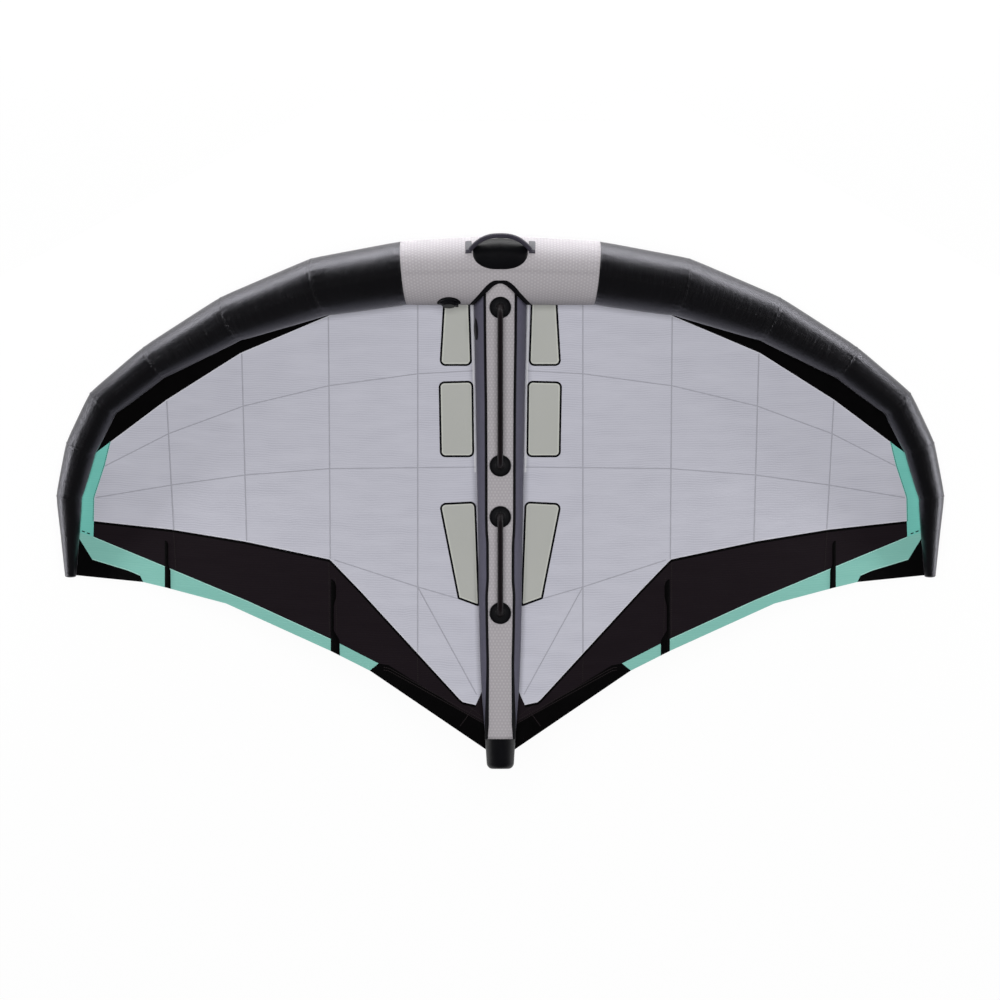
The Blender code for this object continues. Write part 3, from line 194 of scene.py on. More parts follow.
STRUT_ROWS = 120
STRIP_EASE = 0.012
PIPING_CLOTH = 0.0005
PIPING_MOST_ANGLE = math.radians(14)
SADDLE_WIDTH = 0.0115
SADDLE_RISE = 0.0014
SADDLE_SWELL = 0.007
SADDLE_LEG_WIDENING = 0.0055
SADDLE_END_ANGLE = math.radians(118)
CAP_LENGTH = 0.1
CAP_END_SHARE = 0.88
CAP_ROUND = 0.02
CAP_ROWS = 40
CAP_ROUND_ROWS = 24
GAP = 0.0003

# Handles
FIRST_BASE_REACH = 0.011
FRONT_HANDLE_LENGTH = 0.531
HANDLE_SPACING = 0.172
REAR_HANDLE_LENGTH = 0.323
ROD_RADIUS = 0.0095
ROD_FOOT_RADIUS = 0.013
ROD_BEND = 0.034
RAIL_HEIGHT = 0.062
ROD_STEPS = 220
BEND_STEPS = 16
BASE_RADIUS = 0.0366
BASE_FOOT_HEIGHT = 0.015
BASE_SINK = 0.006
BASE_STEPS = 72
BASE_BEAD_WIDTH = 0.0062
BASE_FIT_HEIGHT = 0.0015
BASE_SEAT_DEPTH = 0.0004
STRAP_HALF = 0.1015
STRAP_FOOT_ANGLE = math.radians(37)
STRAP_TOP_ANGLE = math.radians(50)
STRAP_STANDOFF = 0.035
STRAP_ARCH_POWER = 2.6
STRAP_FOOT_SINK = 0.004
STRAP_WIDTH = 0.026
STRAP_THICKNESS = 0.0155
STRAP_LOWERING = 0.0015
STRAP_STEPS = 96
TAB_LENGTH = 0.0215
TAB_THICKNESS = 0.003
TAB_LOW_ANGLE = math.radians(31)
TAB_HIGH_ANGLE = math.radians(60)
TAB_DARK_SHARE = 0.22
TAB_DEPTH = 0.05
TAB_EDGE = 0.0015
TAB_MERGE = 0.00002
VALVE_ACROSS = 0.173
VALVE_ANGLE = math.radians(70)
VALVE_PATCH_RADIUS = 0.04
VALVE_PORT_RADIUS = 0.042
VALVE_PATCH_RISE = 0.0012
PAD_HALF = 0.0925
PAD_ANGLE = math.radians(33.0)
PAD_HALF_ANGLE = math.radians(32.5)
PAD_THICKNESS = 0.006
PATCH_GAP = 0.0004

SIDES = {"left": -1.0, "right": 1.0}
SHARP_ANGLE = math.radians(40)

# The photograph's view: straight down on the wing's frame
METRES_PER_PIXEL = 0.0033617
PHOTO_SIZE = 1000
PHOTO_MIDDLE_X = 500.3
PHOTO_TUBE_Y = 270.0
CAMERA_DISTANCE = 70.0
SENSOR_WIDTH = 36.0
WORLD_LEVEL = 0.05
FLOOR_HALF = 30.0
FLOOR_GLOW_SHARE = 0.96
FLOOR_TONE = 0.9
OVERHEAD_POWER = 1340.0
EDGE_LIGHT_HEIGHT = 0.105
LOW_LIGHT_HEIGHT = 0.052
LOW_LIGHTS = ((-1.15, 0.98, -0.5), (0.0, 1.22, 0.0), (1.15, 0.98, 0.5))


def operator_pair(operation):
    """Methods for an operator and for its reflected form."""

    def plain(self, other):
        return self.operate(operation, self, other)

    def reflected(self, other):
        return self.operate(operation, other, self)

    return plain, reflected


class Wire:
    """A node's output socket; arithmetic on it adds Math nodes."""

    __add__, __radd__ = operator_pair("ADD")
    __sub__, __rsub__ = operator_pair("SUBTRACT")
    __mul__, __rmul__ = operator_pair("MULTIPLY")
    __truediv__, __rtruediv__ = operator_pair("DIVIDE")
    __mod__, __rmod__ = operator_pair("FLOORED_MODULO")

    def __init__(self, finish, socket):
        self.finish = finish
        self.socket = socket

    def operate(self, operation, *values):
        return self.finish.node("ShaderNodeMath", {"operation": operation}, dict(enumerate(values)))

    def __abs__(self):
        return self.operate("ABSOLUTE", self)

    def sine(self):
        return self.operate("SINE", self)

    def high(self, other):
        return self.operate("MAXIMUM", self, other)

    def below(self, limit, soft):
        """1 where the value is under the limit, 0 over it, with a soft edge."""
        sockets = {"Value": self, "From Min": limit - soft, "From Max": limit + soft}
        sockets.update({"To Min": 1.0, "To Max": 0.0})
        return self.finish.node("ShaderNodeMapRange", {"interpolation_type": "SMOOTHSTEP"}, sockets)


class Finish:
    """A material being made: node() adds any node, and the shader's constants are set by name."""

    def __init__(self, name, **constants):
        self.material = bpy.data.materials.new(name)
        self.material.use_nodes = True
        self.tree = self.material.node_tree
        self.shader = self.tree.nodes["Principled BSDF"]
        for key, value in constants.items():
            self.shader.inputs[key.replace("_", " ")].default_value = value

    def node(self, kind, settings=None, sockets=None, output=0):
        made = self.tree.nodes.new(kind)
        for key, value in (settings or {}).items():
            setattr(made, key, value)
        for key, value in (sockets or {}).items():
            if isinstance(value, Wire):
                self.tree.links.new(value.socket, made.inputs[key])
            else:
                made.inputs[key].default_value = value
        return Wire(self, made.outputs[output])

    def place(self, source="Object"):
        return self.node("ShaderNodeTexCoord", output=source)

    def parts(self, vector):
        made = self.node("ShaderNodeSeparateXYZ", None, {"Vector": vector})
        return [Wire(self, made.socket.node.outputs[k]) for k in range(3)]

    def noise(self, vector, scale, detail=2.0):
        """Noise at one scale, or at a scale of its own along each axis."""
        if isinstance(scale, tuple):
            vector = self.node("ShaderNodeMapping", None, {"Vector": vector, "Scale": scale})
            scale = 1.0
        sockets = {"Vector": vector, "Scale": scale, "Detail": detail}
        return self.node("ShaderNodeTexNoise", None, sockets, "Fac")

    def mix(self, factor, one, two):
        """Colour between two colours."""
        sockets = {0: factor}
        for key, value in ((6, one), (7, two)):
            sockets[key] = value if isinstance(value, Wire) else (*value, 1.0)
        return self.node("ShaderNodeMix", {"data_type": "RGBA", "clamp_factor": True}, sockets, 2)

    def bump(self, height, distance, strength, normal=None):
        sockets = {"Height": height, "Distance": distance, "Strength": strength}
        if normal:
            sockets["Normal"] = normal
        return self.node("ShaderNodeBump", None, sockets)

    def done(self, colour, roughness, normal):
        for name, wire in (("Base Color", colour), ("Roughness", roughness), ("Normal", normal)):
            self.tree.links.new(wire.socket, self.shader.inputs[name])
        return self.material


# Finishes

WEAVE_PITCH = 0.0012
STITCH_LENGTH = 0.0036
STITCH_WIDTH = 0.0006
STITCH_ROWS = (0.0028, 0.0068)
DOT_PITCH = 0.0118
DOT_RADIUS = 0.003
RIPSTOP_PITCH = 0.0077
RIPSTOP_LINE = 0.0018
RIPSTOP_WAVER = 0.016
CLOSING_SHARE = 0.47
THREAD_PITCH = 0.0065
RIB_TURN = math.pi / 0.0016


def stitches(edge, run):
    """Rows of stitches beside a sewn edge; 1 on the thread."""
    dash = ((run / STITCH_LENGTH) % 1.0 - 0.5)
    on = abs(dash).below(0.36, 0.05)
    rows = None
    for row in STITCH_ROWS:
        line = abs(edge - row).below(STITCH_WIDTH, STITCH_WIDTH / 2) * on
        rows = rows.high(line) if rows else line
    return rows


def dots(across, along):
    """Staggered rows of round dots; 1 on a dot."""
    rise = DOT_PITCH * math.sqrt(3) / 2
    masks = []
    for shift in (0.0, 0.5):
        x = ((across / DOT_PITCH + shift) % 1.0 - 0.5) * DOT_PITCH
        y = ((along / (2 * rise) + shift) % 1.0 - 0.5) * (2 * rise)
        masks.append((x * x + y * y).below(DOT_RADIUS ** 2, DOT_RADIUS ** 2 * 0.35))
    return masks[0].high(masks[1])


def make_sleeve_cloth(name, dark, pale, sewn, roughness, dotted, gloss, nap):
    """Dense woven polyester of the tubes, with stitched seams."""
    finish = Finish(
        name, Specular_IOR_Level=gloss, Specular_Tint=(0.9, 0.89, 1.0, 1.0), Sheen_Weight=nap,
        Sheen_Roughness=0.3, Sheen_Tint=(0.86, 0.84, 0.96, 1.0))
    uv = finish.place("UV")
    across, along, _ = finish.parts(uv)
    place = finish.place()
    edge = finish.node("ShaderNodeAttribute", {"attribute_name": "edge"}, output="Fac")
    colour = finish.mix(finish.noise(place, 5.0, 3.0), dark, pale)
    if dotted:
        colour = finish.mix(dots(across, along) * 0.8, colour, dotted)
    thread = stitches(edge, across + along)
    colour = finish.mix(thread * 0.8, colour, sewn)
    # Colour goes darker right along each sewn edge.
    seam_darkening = edge.below(0.0012, 0.001) * 0.3
    colour = finish.mix(seam_darkening, colour, tuple(c * 0.45 for c in dark))
    turn = math.pi / WEAVE_PITCH
    weave = abs((across * turn).sine() * (along * turn).sine())
    creases = finish.noise(uv, (14.0, 60.0, 1.0), 4.0) * edge.below(0.05, 0.045)
    normal = finish.bump(weave + thread * 1.6, 0.00022, 0.5, finish.bump(creases, 0.004, 0.7))
    return finish.done(colour, finish.noise(place, 9.0) * 0.16 + (roughness - 0.08), normal)


def make_canopy_cloth(name, dark, pale, roughness, line_colour, line_share, gloss=0.2):
    """Coated ripstop: a fine grid of thicker threads, faint creases and a slight cloudiness."""
    finish = Finish(name, Specular_IOR_Level=gloss)
    place = finish.place()
    x, y, _ = finish.parts(place)
    waver = finish.noise(place, (12.0, 3.0, 3.0)) * RIPSTOP_WAVER
    grid = []
    for value, width in ((x, RIPSTOP_LINE / 2), (y + waver, RIPSTOP_LINE)):
        away = ((value / RIPSTOP_PITCH) % 1.0 - 0.5) * RIPSTOP_PITCH
        grid.append(abs(away).below(width, width * 0.7))
    threads = (grid[0] * 0.35).high(grid[1])
    streaks = finish.noise(place, (4.0, 120.0, 4.0), 3.0)
    cloudy = finish.noise(place, 2.6, 4.0)
    colour = finish.mix(cloudy * 0.5 + streaks * 0.5, dark, pale)
    uneven = finish.noise(place, (7.0, 26.0, 7.0)) * 2.4 - 0.5
    colour = finish.mix(threads * line_share * uneven, colour, line_colour)
    creases = finish.bump(finish.noise(place, (5.0, 30.0, 5.0), 5.0), 0.006, 0.35)
    normal = finish.bump(threads + streaks * 0.6, 0.00025, 0.6, creases)
    return finish.done(colour, cloudy * 0.14 + (roughness - 0.07), normal)


def make_webbing(name, dark, pale, roughness, gloss=0.12):
    """Narrow woven tape: ribs along its length and a grain across."""
    finish = Finish(name, Specular_IOR_Level=gloss)
    place = finish.place()
    x, y, z = finish.parts(place)
    ribs = abs(((x + y) * RIB_TURN).sine() * ((x - y + z) * RIB_TURN).sine())
    cloudy = finish.noise(place, 30.0, 3.0)
    normal = finish.bump(ribs, 0.0003, 0.7)
    return finish.done(finish.mix(cloudy, dark, pale), cloudy * 0.2 + (roughness - 0.1), normal)


def make_stitch_line(name, thread, ground):
    """Line of machine stitches, as dashes of thread on the cloth's own colour."""
    finish = Finish(name, Specular_IOR_Level=0.1)
    run, side, _ = finish.parts(finish.place("UV"))
    dash = abs((run / THREAD_PITCH) % 1.0 - 0.5).below(0.32, 0.08)
    twist = ((run + side) * (math.tau / 0.0011)).sine()
    roughness = finish.noise(finish.place(), 40.0, 3.0) * 0.2 + 0.6
    normal = finish.bump(dash + twist * 0.2, 0.0004, 0.7)
    return finish.done(finish.mix(dash, ground, thread), roughness, normal)


def make_moulded(name, dark, pale, roughness, grain=0.00012, gloss=0.3):
    """Moulded plastic or rubber with a fine spark-eroded grain and light scuffs."""
    finish = Finish(name, Specular_IOR_Level=gloss)
    place = finish.place()
    scuffs = finish.noise(place, (40.0, 12.0, 40.0), 5.0)
    normal = finish.bump(finish.noise(place, 900.0), grain, 0.6)
    return finish.done(finish.mix(scuffs, dark, pale), scuffs * 0.25 + (roughness - 0.12), normal)


def make_window_film(name, dark, pale, alpha):
    """Clear film gone slightly green and milky, with faint ripples."""
    finish = Finish(name, Specular_IOR_Level=0.35, Alpha=alpha)
    place = finish.place()
    cloudy = finish.noise(place, 4.0, 3.0)
    normal = finish.bump(finish.noise(place, (9.0, 16.0, 9.0)), 0.003, 0.5)
    return finish.done(finish.mix(cloudy, dark, pale), cloudy * 0.15 + 0.16, normal)


def make_bladder_film(name, dark, pale):
    finish = Finish(name, Specular_IOR_Level=0.5, Alpha=0.9)
    place = finish.place()
    cloudy = finish.noise(place, 8.0, 3.0)
    normal = finish.bump(finish.noise(place, 60.0), 0.001, 0.4)
    return finish.done(finish.mix(cloudy, dark, pale), cloudy * 0.2 + 0.25, normal)


FINISH_ROWS = {
    "light_dotted_sleeve_cloth": (
        make_sleeve_cloth, (0.35, 0.331, 0.348), (0.38, 0.359, 0.378), (0.29, 0.275, 0.29), 0.6,
        (0.45, 0.426, 0.444), 0.25, 0.0),
    "black_sleeve_cloth": (
        make_sleeve_cloth, (0.002, 0.0019, 0.0023), (0.0034, 0.0032, 0.0038), (0.0065, 0.0062, 0.0065), 0.35,
        None, 0.85, 0.08),
    "slate_sleeve_cloth": (
        make_sleeve_cloth, (0.082, 0.079, 0.11), (0.114, 0.109, 0.152), (0.054, 0.052, 0.072), 0.5,
        None, 0.12, 0.0),
    "pale_canopy_cloth": (
        make_canopy_cloth, (0.49, 0.49, 0.552), (0.545, 0.545, 0.612), 0.6, (0.41, 0.41, 0.47), 0.6),
    "black_canopy_cloth": (
        make_canopy_cloth, (0.009, 0.0064, 0.0083), (0.0124, 0.0092, 0.0113), 0.62,
        (0.017, 0.013, 0.016), 0.35, 0.08),
    "teal_canopy_cloth": (
        make_canopy_cloth, (0.188, 0.45, 0.392), (0.228, 0.505, 0.442), 0.6, (0.265, 0.545, 0.475), 0.35),
    "deep_teal_canopy_cloth": (
        make_canopy_cloth, (0.14, 0.49, 0.42), (0.185, 0.55, 0.48), 0.6, (0.21, 0.59, 0.51), 0.35),
    "black_webbing": (make_webbing, (0.003, 0.003, 0.0038), (0.0062, 0.006, 0.0075), 0.75),
    "black_patch_cloth": (make_webbing, (0.0016, 0.0015, 0.0016), (0.003, 0.0028, 0.003), 0.72, 0.05),
    "grey_webbing": (make_webbing, (0.125, 0.125, 0.135), (0.175, 0.175, 0.185), 0.8),
    "teal_hem": (make_webbing, (0.33, 0.62, 0.55), (0.4, 0.68, 0.61), 0.7),
    # Painted light: lighter than the canopy, for the strip beside the strut.
    "bright_tape": (make_webbing, (0.74, 0.74, 0.78), (0.8, 0.8, 0.84), 0.7),
    "pale_tape": (make_webbing, (0.58, 0.58, 0.63), (0.66, 0.66, 0.71), 0.7),
    "seam_tape": (make_webbing, (0.34, 0.34, 0.385), (0.4, 0.4, 0.45), 0.7),
    "strap_cover_cloth": (make_webbing, (0.026, 0.024, 0.034), (0.048, 0.044, 0.06), 0.62, 0.3),
    "teal_stitching": (make_stitch_line, (0.03, 0.12, 0.1), (0.15, 0.44, 0.36)),
    "black_stitching": (make_stitch_line, (0.022, 0.018, 0.019), (0.007, 0.0055, 0.006)),
    "black_plastic": (make_moulded, (0.0028, 0.0028, 0.0036), (0.0058, 0.0058, 0.007), 0.46),
    "black_rubber": (make_moulded, (0.0045, 0.0045, 0.0052), (0.01, 0.01, 0.0112), 0.5, 0.0004, 0.35),
    "gloss_black_pad": (make_moulded, (0.0022, 0.0022, 0.0028), (0.0045, 0.0045, 0.0056), 0.44, 0.0003, 0.2),
    "rod_composite": (make_moulded, (0.0048, 0.0032, 0.004), (0.0092, 0.0065, 0.0078), 0.46, 0.0002, 0.2),
    "valve_plastic": (make_moulded, (0.0035, 0.0035, 0.0045), (0.007, 0.007, 0.0085), 0.4),
    "poppet_plastic": (make_moulded, (0.45, 0.45, 0.47), (0.56, 0.56, 0.58), 0.4),
    "window_film": (make_window_film, (0.425, 0.43, 0.405), (0.465, 0.47, 0.44), 0.93),
    "window_film_rim": (make_window_film, (0.5, 0.51, 0.47), (0.55, 0.56, 0.515), 0.97),
    "bladder_film": (make_bladder_film, (0.5, 0.52, 0.56), (0.62, 0.64, 0.68)),
}
FINISHES = {name: make(name, *values) for name, (make, *values) in FINISH_ROWS.items()}


# Mesh helpers

def interpolate(value, places, values):
    if value <= places[0]:
        return values[0]
    for i in range(1, len(places)):
        if value <= places[i]:
            share = (value - places[i - 1]) / (places[i] - places[i - 1])
            return values[i - 1] + share * (values[i] - values[i - 1])
    return values[-1]


def smooth_share(value):
    value = min(max(value, 0.0), 1.0)
    return value * value * (3.0 - 2.0 * value)


def merge(bm, distance=MERGE):
    bmesh.ops.remove_doubles(bm, verts=bm.verts[:], dist=distance)


def patch(columns, rows, place, metres=None, edge=None, bm=None, material=0, closed=False, capped=False):
    """Grid whose corner (u, v), each from 0 to 1, goes to place(u, v), with its coordinates in metres."""
    bm = bm or bmesh.new()
    uv_layer = bm.loops.layers.uv.get("metres") or bm.loops.layers.uv.new("metres")
    edge_layer = bm.verts.layers.float.get("edge") or bm.verts.layers.float.new("edge")
    verts = bmesh.ops.create_grid(bm, x_segments=columns, y_segments=rows, size=0.5)["verts"]
    for face in {face for vert in verts for face in vert.link_faces}:
        face.material_index = material
        face.smooth = True
        for loop in face.loops:
            u, v = loop.vert.co.x + 0.5, loop.vert.co.y + 0.5
            loop[uv_layer].uv = metres(u, v) if metres else (u, v)
    for vert in verts:
        u, v = vert.co.x + 0.5, vert.co.y + 0.5
        vert[edge_layer] = edge(u, v) if edge else 1.0
        vert.co = place(u, v)
    if closed or capped:
        bmesh.ops.remove_doubles(bm, verts=verts, dist=MERGE)
    if capped:
        bmesh.ops.holes_fill(bm, edges=bm.edges[:], sides=0)
    return bm


def new_object(name, data):
    made = bpy.data.objects.new(name, data)
    bpy.context.scene.collection.objects.link(made)
    return made


def piece(name, bm, finishes, centre=None, thickness=0.0, nodes=(), slot=None, sharp=True):
    """Turns a bmesh in the wing's frame into a finished piece that rides on the wing."""
    bmesh.ops.recalc_face_normals(bm, faces=bm.faces[:])
    if centre:
        away = 0.0
        for face in bm.faces:
            away += (face.calc_center_median() - centre(face)).dot(face.normal) * face.calc_area()
        if away < 0.0:
            bmesh.ops.reverse_faces(bm, faces=bm.faces[:])
    bmesh.ops.transform(bm, matrix=WING, verts=bm.verts[:])
    for line in bm.edges:
        line.smooth = not line.is_boundary
    mesh = bpy.data.meshes.new(name)
    bm.to_mesh(mesh)
    bm.free()
    if sharp:
        mesh.shade_smooth()
        mesh.set_sharp_from_angle(angle=SHARP_ANGLE)
    for finish in finishes:
        mesh.materials.append(FINISHES[finish])
    thing = new_object(name, mesh)
    if thickness:
        wall = thing.modifiers.new("wall", "SOLIDIFY")
        wall.thickness = thickness
        wall.offset = -1.0
    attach(thing, "wing")
    if nodes:
        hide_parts(*nodes)
    return thing


# Leading edge

def seam_drop(i):
    if i not in RESTING_SEAMS:
        return SEAM_DROP_SHARES[i] * TIP_DROP
    level = TUBE_RADIUS * (SEAM_RADIUS_SHARES[REST_SEAM] - SEAM_RADIUS_SHARES[i])
    run = HALF_WIDTH * (SEAM_BACK_SHARES[i] - SEAM_BACK_SHARES[REST_SEAM])
    further = (run * math.sin(REST_PITCH) + level) / math.cos(REST_PITCH)
    return SEAM_DROP_SHARES[REST_SEAM] * TIP_DROP + further


def seam_point(i):
    k = abs(i)
    across = math.copysign(SEAM_ACROSS_SHARES[k] * HALF_WIDTH, i)
    return Vector((across, -SEAM_BACK_SHARES[k] * HALF_WIDTH, -seam_drop(k)))


def seam_radius(i):
    return SEAM_RADIUS_SHARES[abs(i)] * TUBE_RADIUS


def seam_directions(i):
    """Ways that the panels before and after seam i run, and the way between them."""
    before = (seam_point(i) - seam_point(i - 1)).normalized() if i > -TIP_SEAM else None
    after = (seam_point(i + 1) - seam_point(i)).normalized() if i < TIP_SEAM else before
    before = before or after
    return before, after, (before + after).normalized()


def unit_ring(turn):
    return Vector((math.sin(turn), math.cos(turn), 0.0))


def seam_frame(i):
    """Matrix from a unit circle in XY to the tube's ring at seam i, in the plane where its panels meet."""
    before, after, ahead = seam_directions(i)
    down = Vector((0.0, math.sin(REST_PITCH), -math.cos(REST_PITCH)))
    down = (down - ahead * down.dot(ahead)).normalized()
    side = ahead.cross(down)
    bend = after - before
    columns = []
    for spoke in (side, down):
        if bend.length > 0.0:
            lean = bend.normalized()
            spoke = spoke + lean * spoke.dot(lean) * (1.0 / before.dot(ahead) - 1.0)
        columns.append(spoke * seam_radius(i))
    made = Matrix((*columns, ahead)).transposed().to_4x4()
    made.translation = seam_point(i)
    return made


def seam_lift(near, turn, waves, phase):
    """How far the cloth stands off the plain tube near a sewn seam: a ridge, a waist and puckers."""
    ridge = SEAM_RIDGE * smooth_share(1.0 - near / SEAM_RIDGE_WIDTH)
    waist = SEAM_WAIST * math.exp(-near / SEAM_WAIST_REACH)
    wave = 0.5 + 0.5 * math.cos(waves * turn + phase + 1.7 * math.sin(3.0 * turn + phase))
    pucker = PUCKER * wave * math.exp(-near / PUCKER_REACH) * smooth_share(near / SEAM_RIDGE_WIDTH)
    return ridge - waist - pucker


def tube_skin(frames, row, turn):
    """Point on the plain tube at a row counted in rings, and the way out from its axis."""
    k = min(int(row), len(frames) - 2)
    rim = unit_ring(turn)
    skin = (frames[k] @ rim).lerp(frames[k + 1] @ rim, row - k)
    middle = frames[k].translation.lerp(frames[k + 1].translation, row - k)
    return skin, (skin - middle).normalized()


def build_tube_panel(name, seams, finish, slot):
    frames = [seam_frame(seam) for seam in seams]
    lengths = [(two.translation - one.translation).length for one, two in zip(frames, frames[1:])]
    places = [sum(lengths[:k]) for k in range(len(frames))]
    total = places[-1]
    radius = (seam_radius(seams[0]) + seam_radius(seams[-1])) / 2
    girth = math.tau * radius
    waves = round(girth / PUCKER_PITCH)
    phase = 1.3 * seams[0]

    def spread(v):
        return (0.5 - 0.5 * math.cos(math.pi * v)) * 0.85 + v * 0.15

    def nearest(v):
        """Distance from the nearest sewn seam round the tube."""
        run = spread(v) * total
        ends = ((seams[0], run), (seams[-1], total - run))
        return min([1.0] + [away for seam, away in ends if abs(seam) != TIP_SEAM])

    def sewn(u, v):
        return min(nearest(v), abs(u - CLOSING_SHARE) * girth)

    def place(u, v):
        turn = math.tau * u
        row = interpolate(spread(v) * total, places, range(len(places)))
        skin, out = tube_skin(frames, row, turn)
        return skin + out * seam_lift(nearest(v), turn, waves, phase)

    rows = TUBE_ROWS * len(lengths)
    bm = patch(TUBE_COLUMNS, rows, place, lambda u, v: (u * girth, spread(v) * total), sewn, closed=True)
    for end, seam in ((0, seams[0]), (-1, seams[-1])):
        if abs(seam) == TIP_SEAM:
            close_tip(bm, frames[end], seam)
    middle = sum((f.translation for f in frames), Vector()) / len(frames)
    line = (frames[-1].translation - frames[0].translation).normalized()

    def axis_point(face):
        return middle + line * (face.calc_center_median() - middle).dot(line)

    piece(name, bm, [finish], axis_point, FABRIC, nodes=[name], slot=slot)


def close_tip(bm, ring, seam):
    """Domed end of the tube."""
    radius = seam_radius(seam)
    out = ring.to_3x3().col[2] * math.copysign(1.0, seam)

    def place(u, v):
        fall = math.pi / 2 * v
        return ring @ (unit_ring(math.tau * u) * math.cos(fall)) + out * radius * TIP_DOME_SHARE * math.sin(fall)

    patch(TUBE_COLUMNS, TIP_ROWS, place, lambda u, v: (u * math.tau * radius, v * radius), bm=bm)
    merge(bm)


def build_leading_edge():
    build_tube_panel("leading_edge_centre_panel", (-1, 0, 1), "light_dotted_sleeve_cloth", "light_fabric")
    for number in range(CENTRE_SEAM, LAST_PANEL + 1):
        seams = (number, number + 1) if number < LAST_PANEL else (LAST_PANEL, LAST_PANEL + 1, TIP_SEAM)
        for side, sign in SIDES.items():
            ordered = seams if sign > 0.0 else tuple(-seam for seam in reversed(seams))
            name = f"leading_edge_panel_{number}_{side}"
            build_tube_panel(name, ordered, "black_sleeve_cloth", "black_fabric")


def build_edge_bladder():
    """Film tube inside the sleeve, closed at both tips."""
    frames = [seam_frame(seam) for seam in range(-TIP_SEAM, TIP_SEAM + 1)]
    rows = BLADDER_ROWS * (len(frames) - 1)

    def place(u, v):
        skin, out = tube_skin(frames, v * (len(frames) - 1), math.tau * u)
        return skin - out * BLADDER_INSET * (1.0 + max(0.0, 1.0 - min(v, 1.0 - v) * rows / 3) ** 2)

    bm = patch(BLADDER_COLUMNS, rows, place, capped=True)
    port = on_tube(-VALVE_ACROSS, -VALVE_ANGLE, 0.0)
    cut = [face for face in bm.faces if (face.calc_center_median() - port).length < VALVE_PORT_RADIUS]
    bmesh.ops.delete(bm, geom=cut, context="FACES")
    piece("leading_edge_bladder_film", bm, ["bladder_film"], nodes=["leading_edge_bladder"],
          slot="clear_bladder")


# Canopy

def attach_points():
    points = []
    for i in range(TIP_SEAM + 1):
        before, after, run = seam_directions(i)
        level = min(math.hypot(before.x, before.y), math.hypot(after.x, after.y))
        inward = Vector((run.y, -run.x, 0.0)).normalized()
        reach = seam_radius(i) + CANOPY_CLEARANCE
        place = seam_point(i) + inward * (reach * ATTACH_SHARE)
        height = place.z - reach * math.sqrt(1.0 - ATTACH_SHARE ** 2) / level - CANOPY_THICKNESS / 2
        points.append((place.x, -place.y, height))
    return points


FRONT = attach_points()


def front_back(across):
    return interpolate(across, [p[0] for p in FRONT], [p[1] for p in FRONT])


def canopy_height(across, back):
    """Height of the canopy's middle surface: a straight chord less the camber."""
    across = abs(across)
    start = front_back(across)
    start_height = interpolate(across, [p[0] for p in FRONT], [p[2] for p in FRONT])
    end = interpolate(across, [p[0] for p in TRAILING_EDGE], [p[1] for p in TRAILING_EDGE])
    tip = TRAILING_EDGE[-1][0]
    end_height = TAIL_RISE - (TAIL_RISE + TIP_EDGE_DROP) * min(across / tip, 1.0) ** TRAILING_TWIST_POWER
    chord = max(end - start, CANOPY_THICKNESS)
    share = min(max((back - start) / chord, 0.0), 1.0)
    sag = CAMBER_SHARE * chord * CAMBER_PEAK_RATIO * share * (1.0 - share) ** 2
    return start_height + share * (end_height - start_height) - sag


def canopy_top(across, back):
    """Height of the canopy's face on the rider's side."""
    return canopy_height(across, back) + CANOPY_THICKNESS / 2


def offset(points, distance):
    """Outline moved inwards by a distance, or outwards by a negative one."""
    area = sum(a[0] * b[1] - b[0] * a[1] for a, b in zip(points, points[1:] + points[:1]))
    turn = math.copysign(1.0, area)
    moved = []
    for i, here in enumerate(points):
        here = Vector(here)
        into = (here - Vector(points[i - 1])).normalized()
        away = (Vector(points[(i + 1) % len(points)]) - here).normalized()
        normal = Vector((-into.y, into.x)) * turn
        middle = (normal + Vector((-away.y, away.x)) * turn).normalized()
        point = here + middle * (distance / max(middle.dot(normal), 0.4))
        moved.append((point.x, point.y))
    return moved


def fillet(before, here, after, radius, shares):
    """Points of a rounded corner, at shares of the way round it."""
    into, away = (before - here).normalized(), (after - here).normalized()
    half = into.angle(away) / 2
    centre = here + (into + away).normalized() * (radius / math.sin(half))
    start = here + into * (radius / math.tan(half)) - centre
    end = here + away * (radius / math.tan(half)) - centre
    return [centre + (start * (1.0 - share) + end * share).normalized() * radius for share in shares]


def rounded(points, radii):
    """Outline with each corner rounded to its own radius."""
    corners = [Vector(point) for point in points]
    shares = [k / CORNER_STEPS for k in range(CORNER_STEPS + 1)]
    result = []
    for i, (here, radius) in enumerate(zip(corners, radii)):
        result += fillet(corners[i - 1], here, corners[(i + 1) % len(corners)], radius, shares)
    return [(point.x, point.y) for point in result]


def fill(bm, outline, holes, material, sign):
    """Flat cut piece from its plan outline, in (across, back), on the side with this sign."""
    edges = []
    for loop in (outline, *holes):
        row = [bm.verts.new((across * sign, -back, 0.0)) for across, back in loop]
        edges += [bm.edges.new((row[i - 1], row[i])) for i in range(len(row))]
    made = bmesh.ops.triangle_fill(
        bm, edges=edges, use_beauty=True, use_dissolve=False, normal=(0.0, 0.0, 1.0))["geom"]
    for item in made:
        if isinstance(item, bmesh.types.BMFace):
            item.material_index = material
            item.smooth = True


def cut_to_grid(bm, cell):
    """Cuts flat cloth into small cells, so that it can follow the canopy's curve."""
    for axis, normal in enumerate((Vector((1.0, 0.0, 0.0)), Vector((0.0, 1.0, 0.0)))):
        spots = [vert.co[axis] for vert in bm.verts]
        for k in range(math.floor(min(spots) / cell) + 1, math.ceil(max(spots) / cell)):
            geom = bm.verts[:] + bm.edges[:] + bm.faces[:]
            bmesh.ops.bisect_plane(bm, geom=geom, plane_co=normal * (k * cell), plane_no=normal, dist=MERGE)


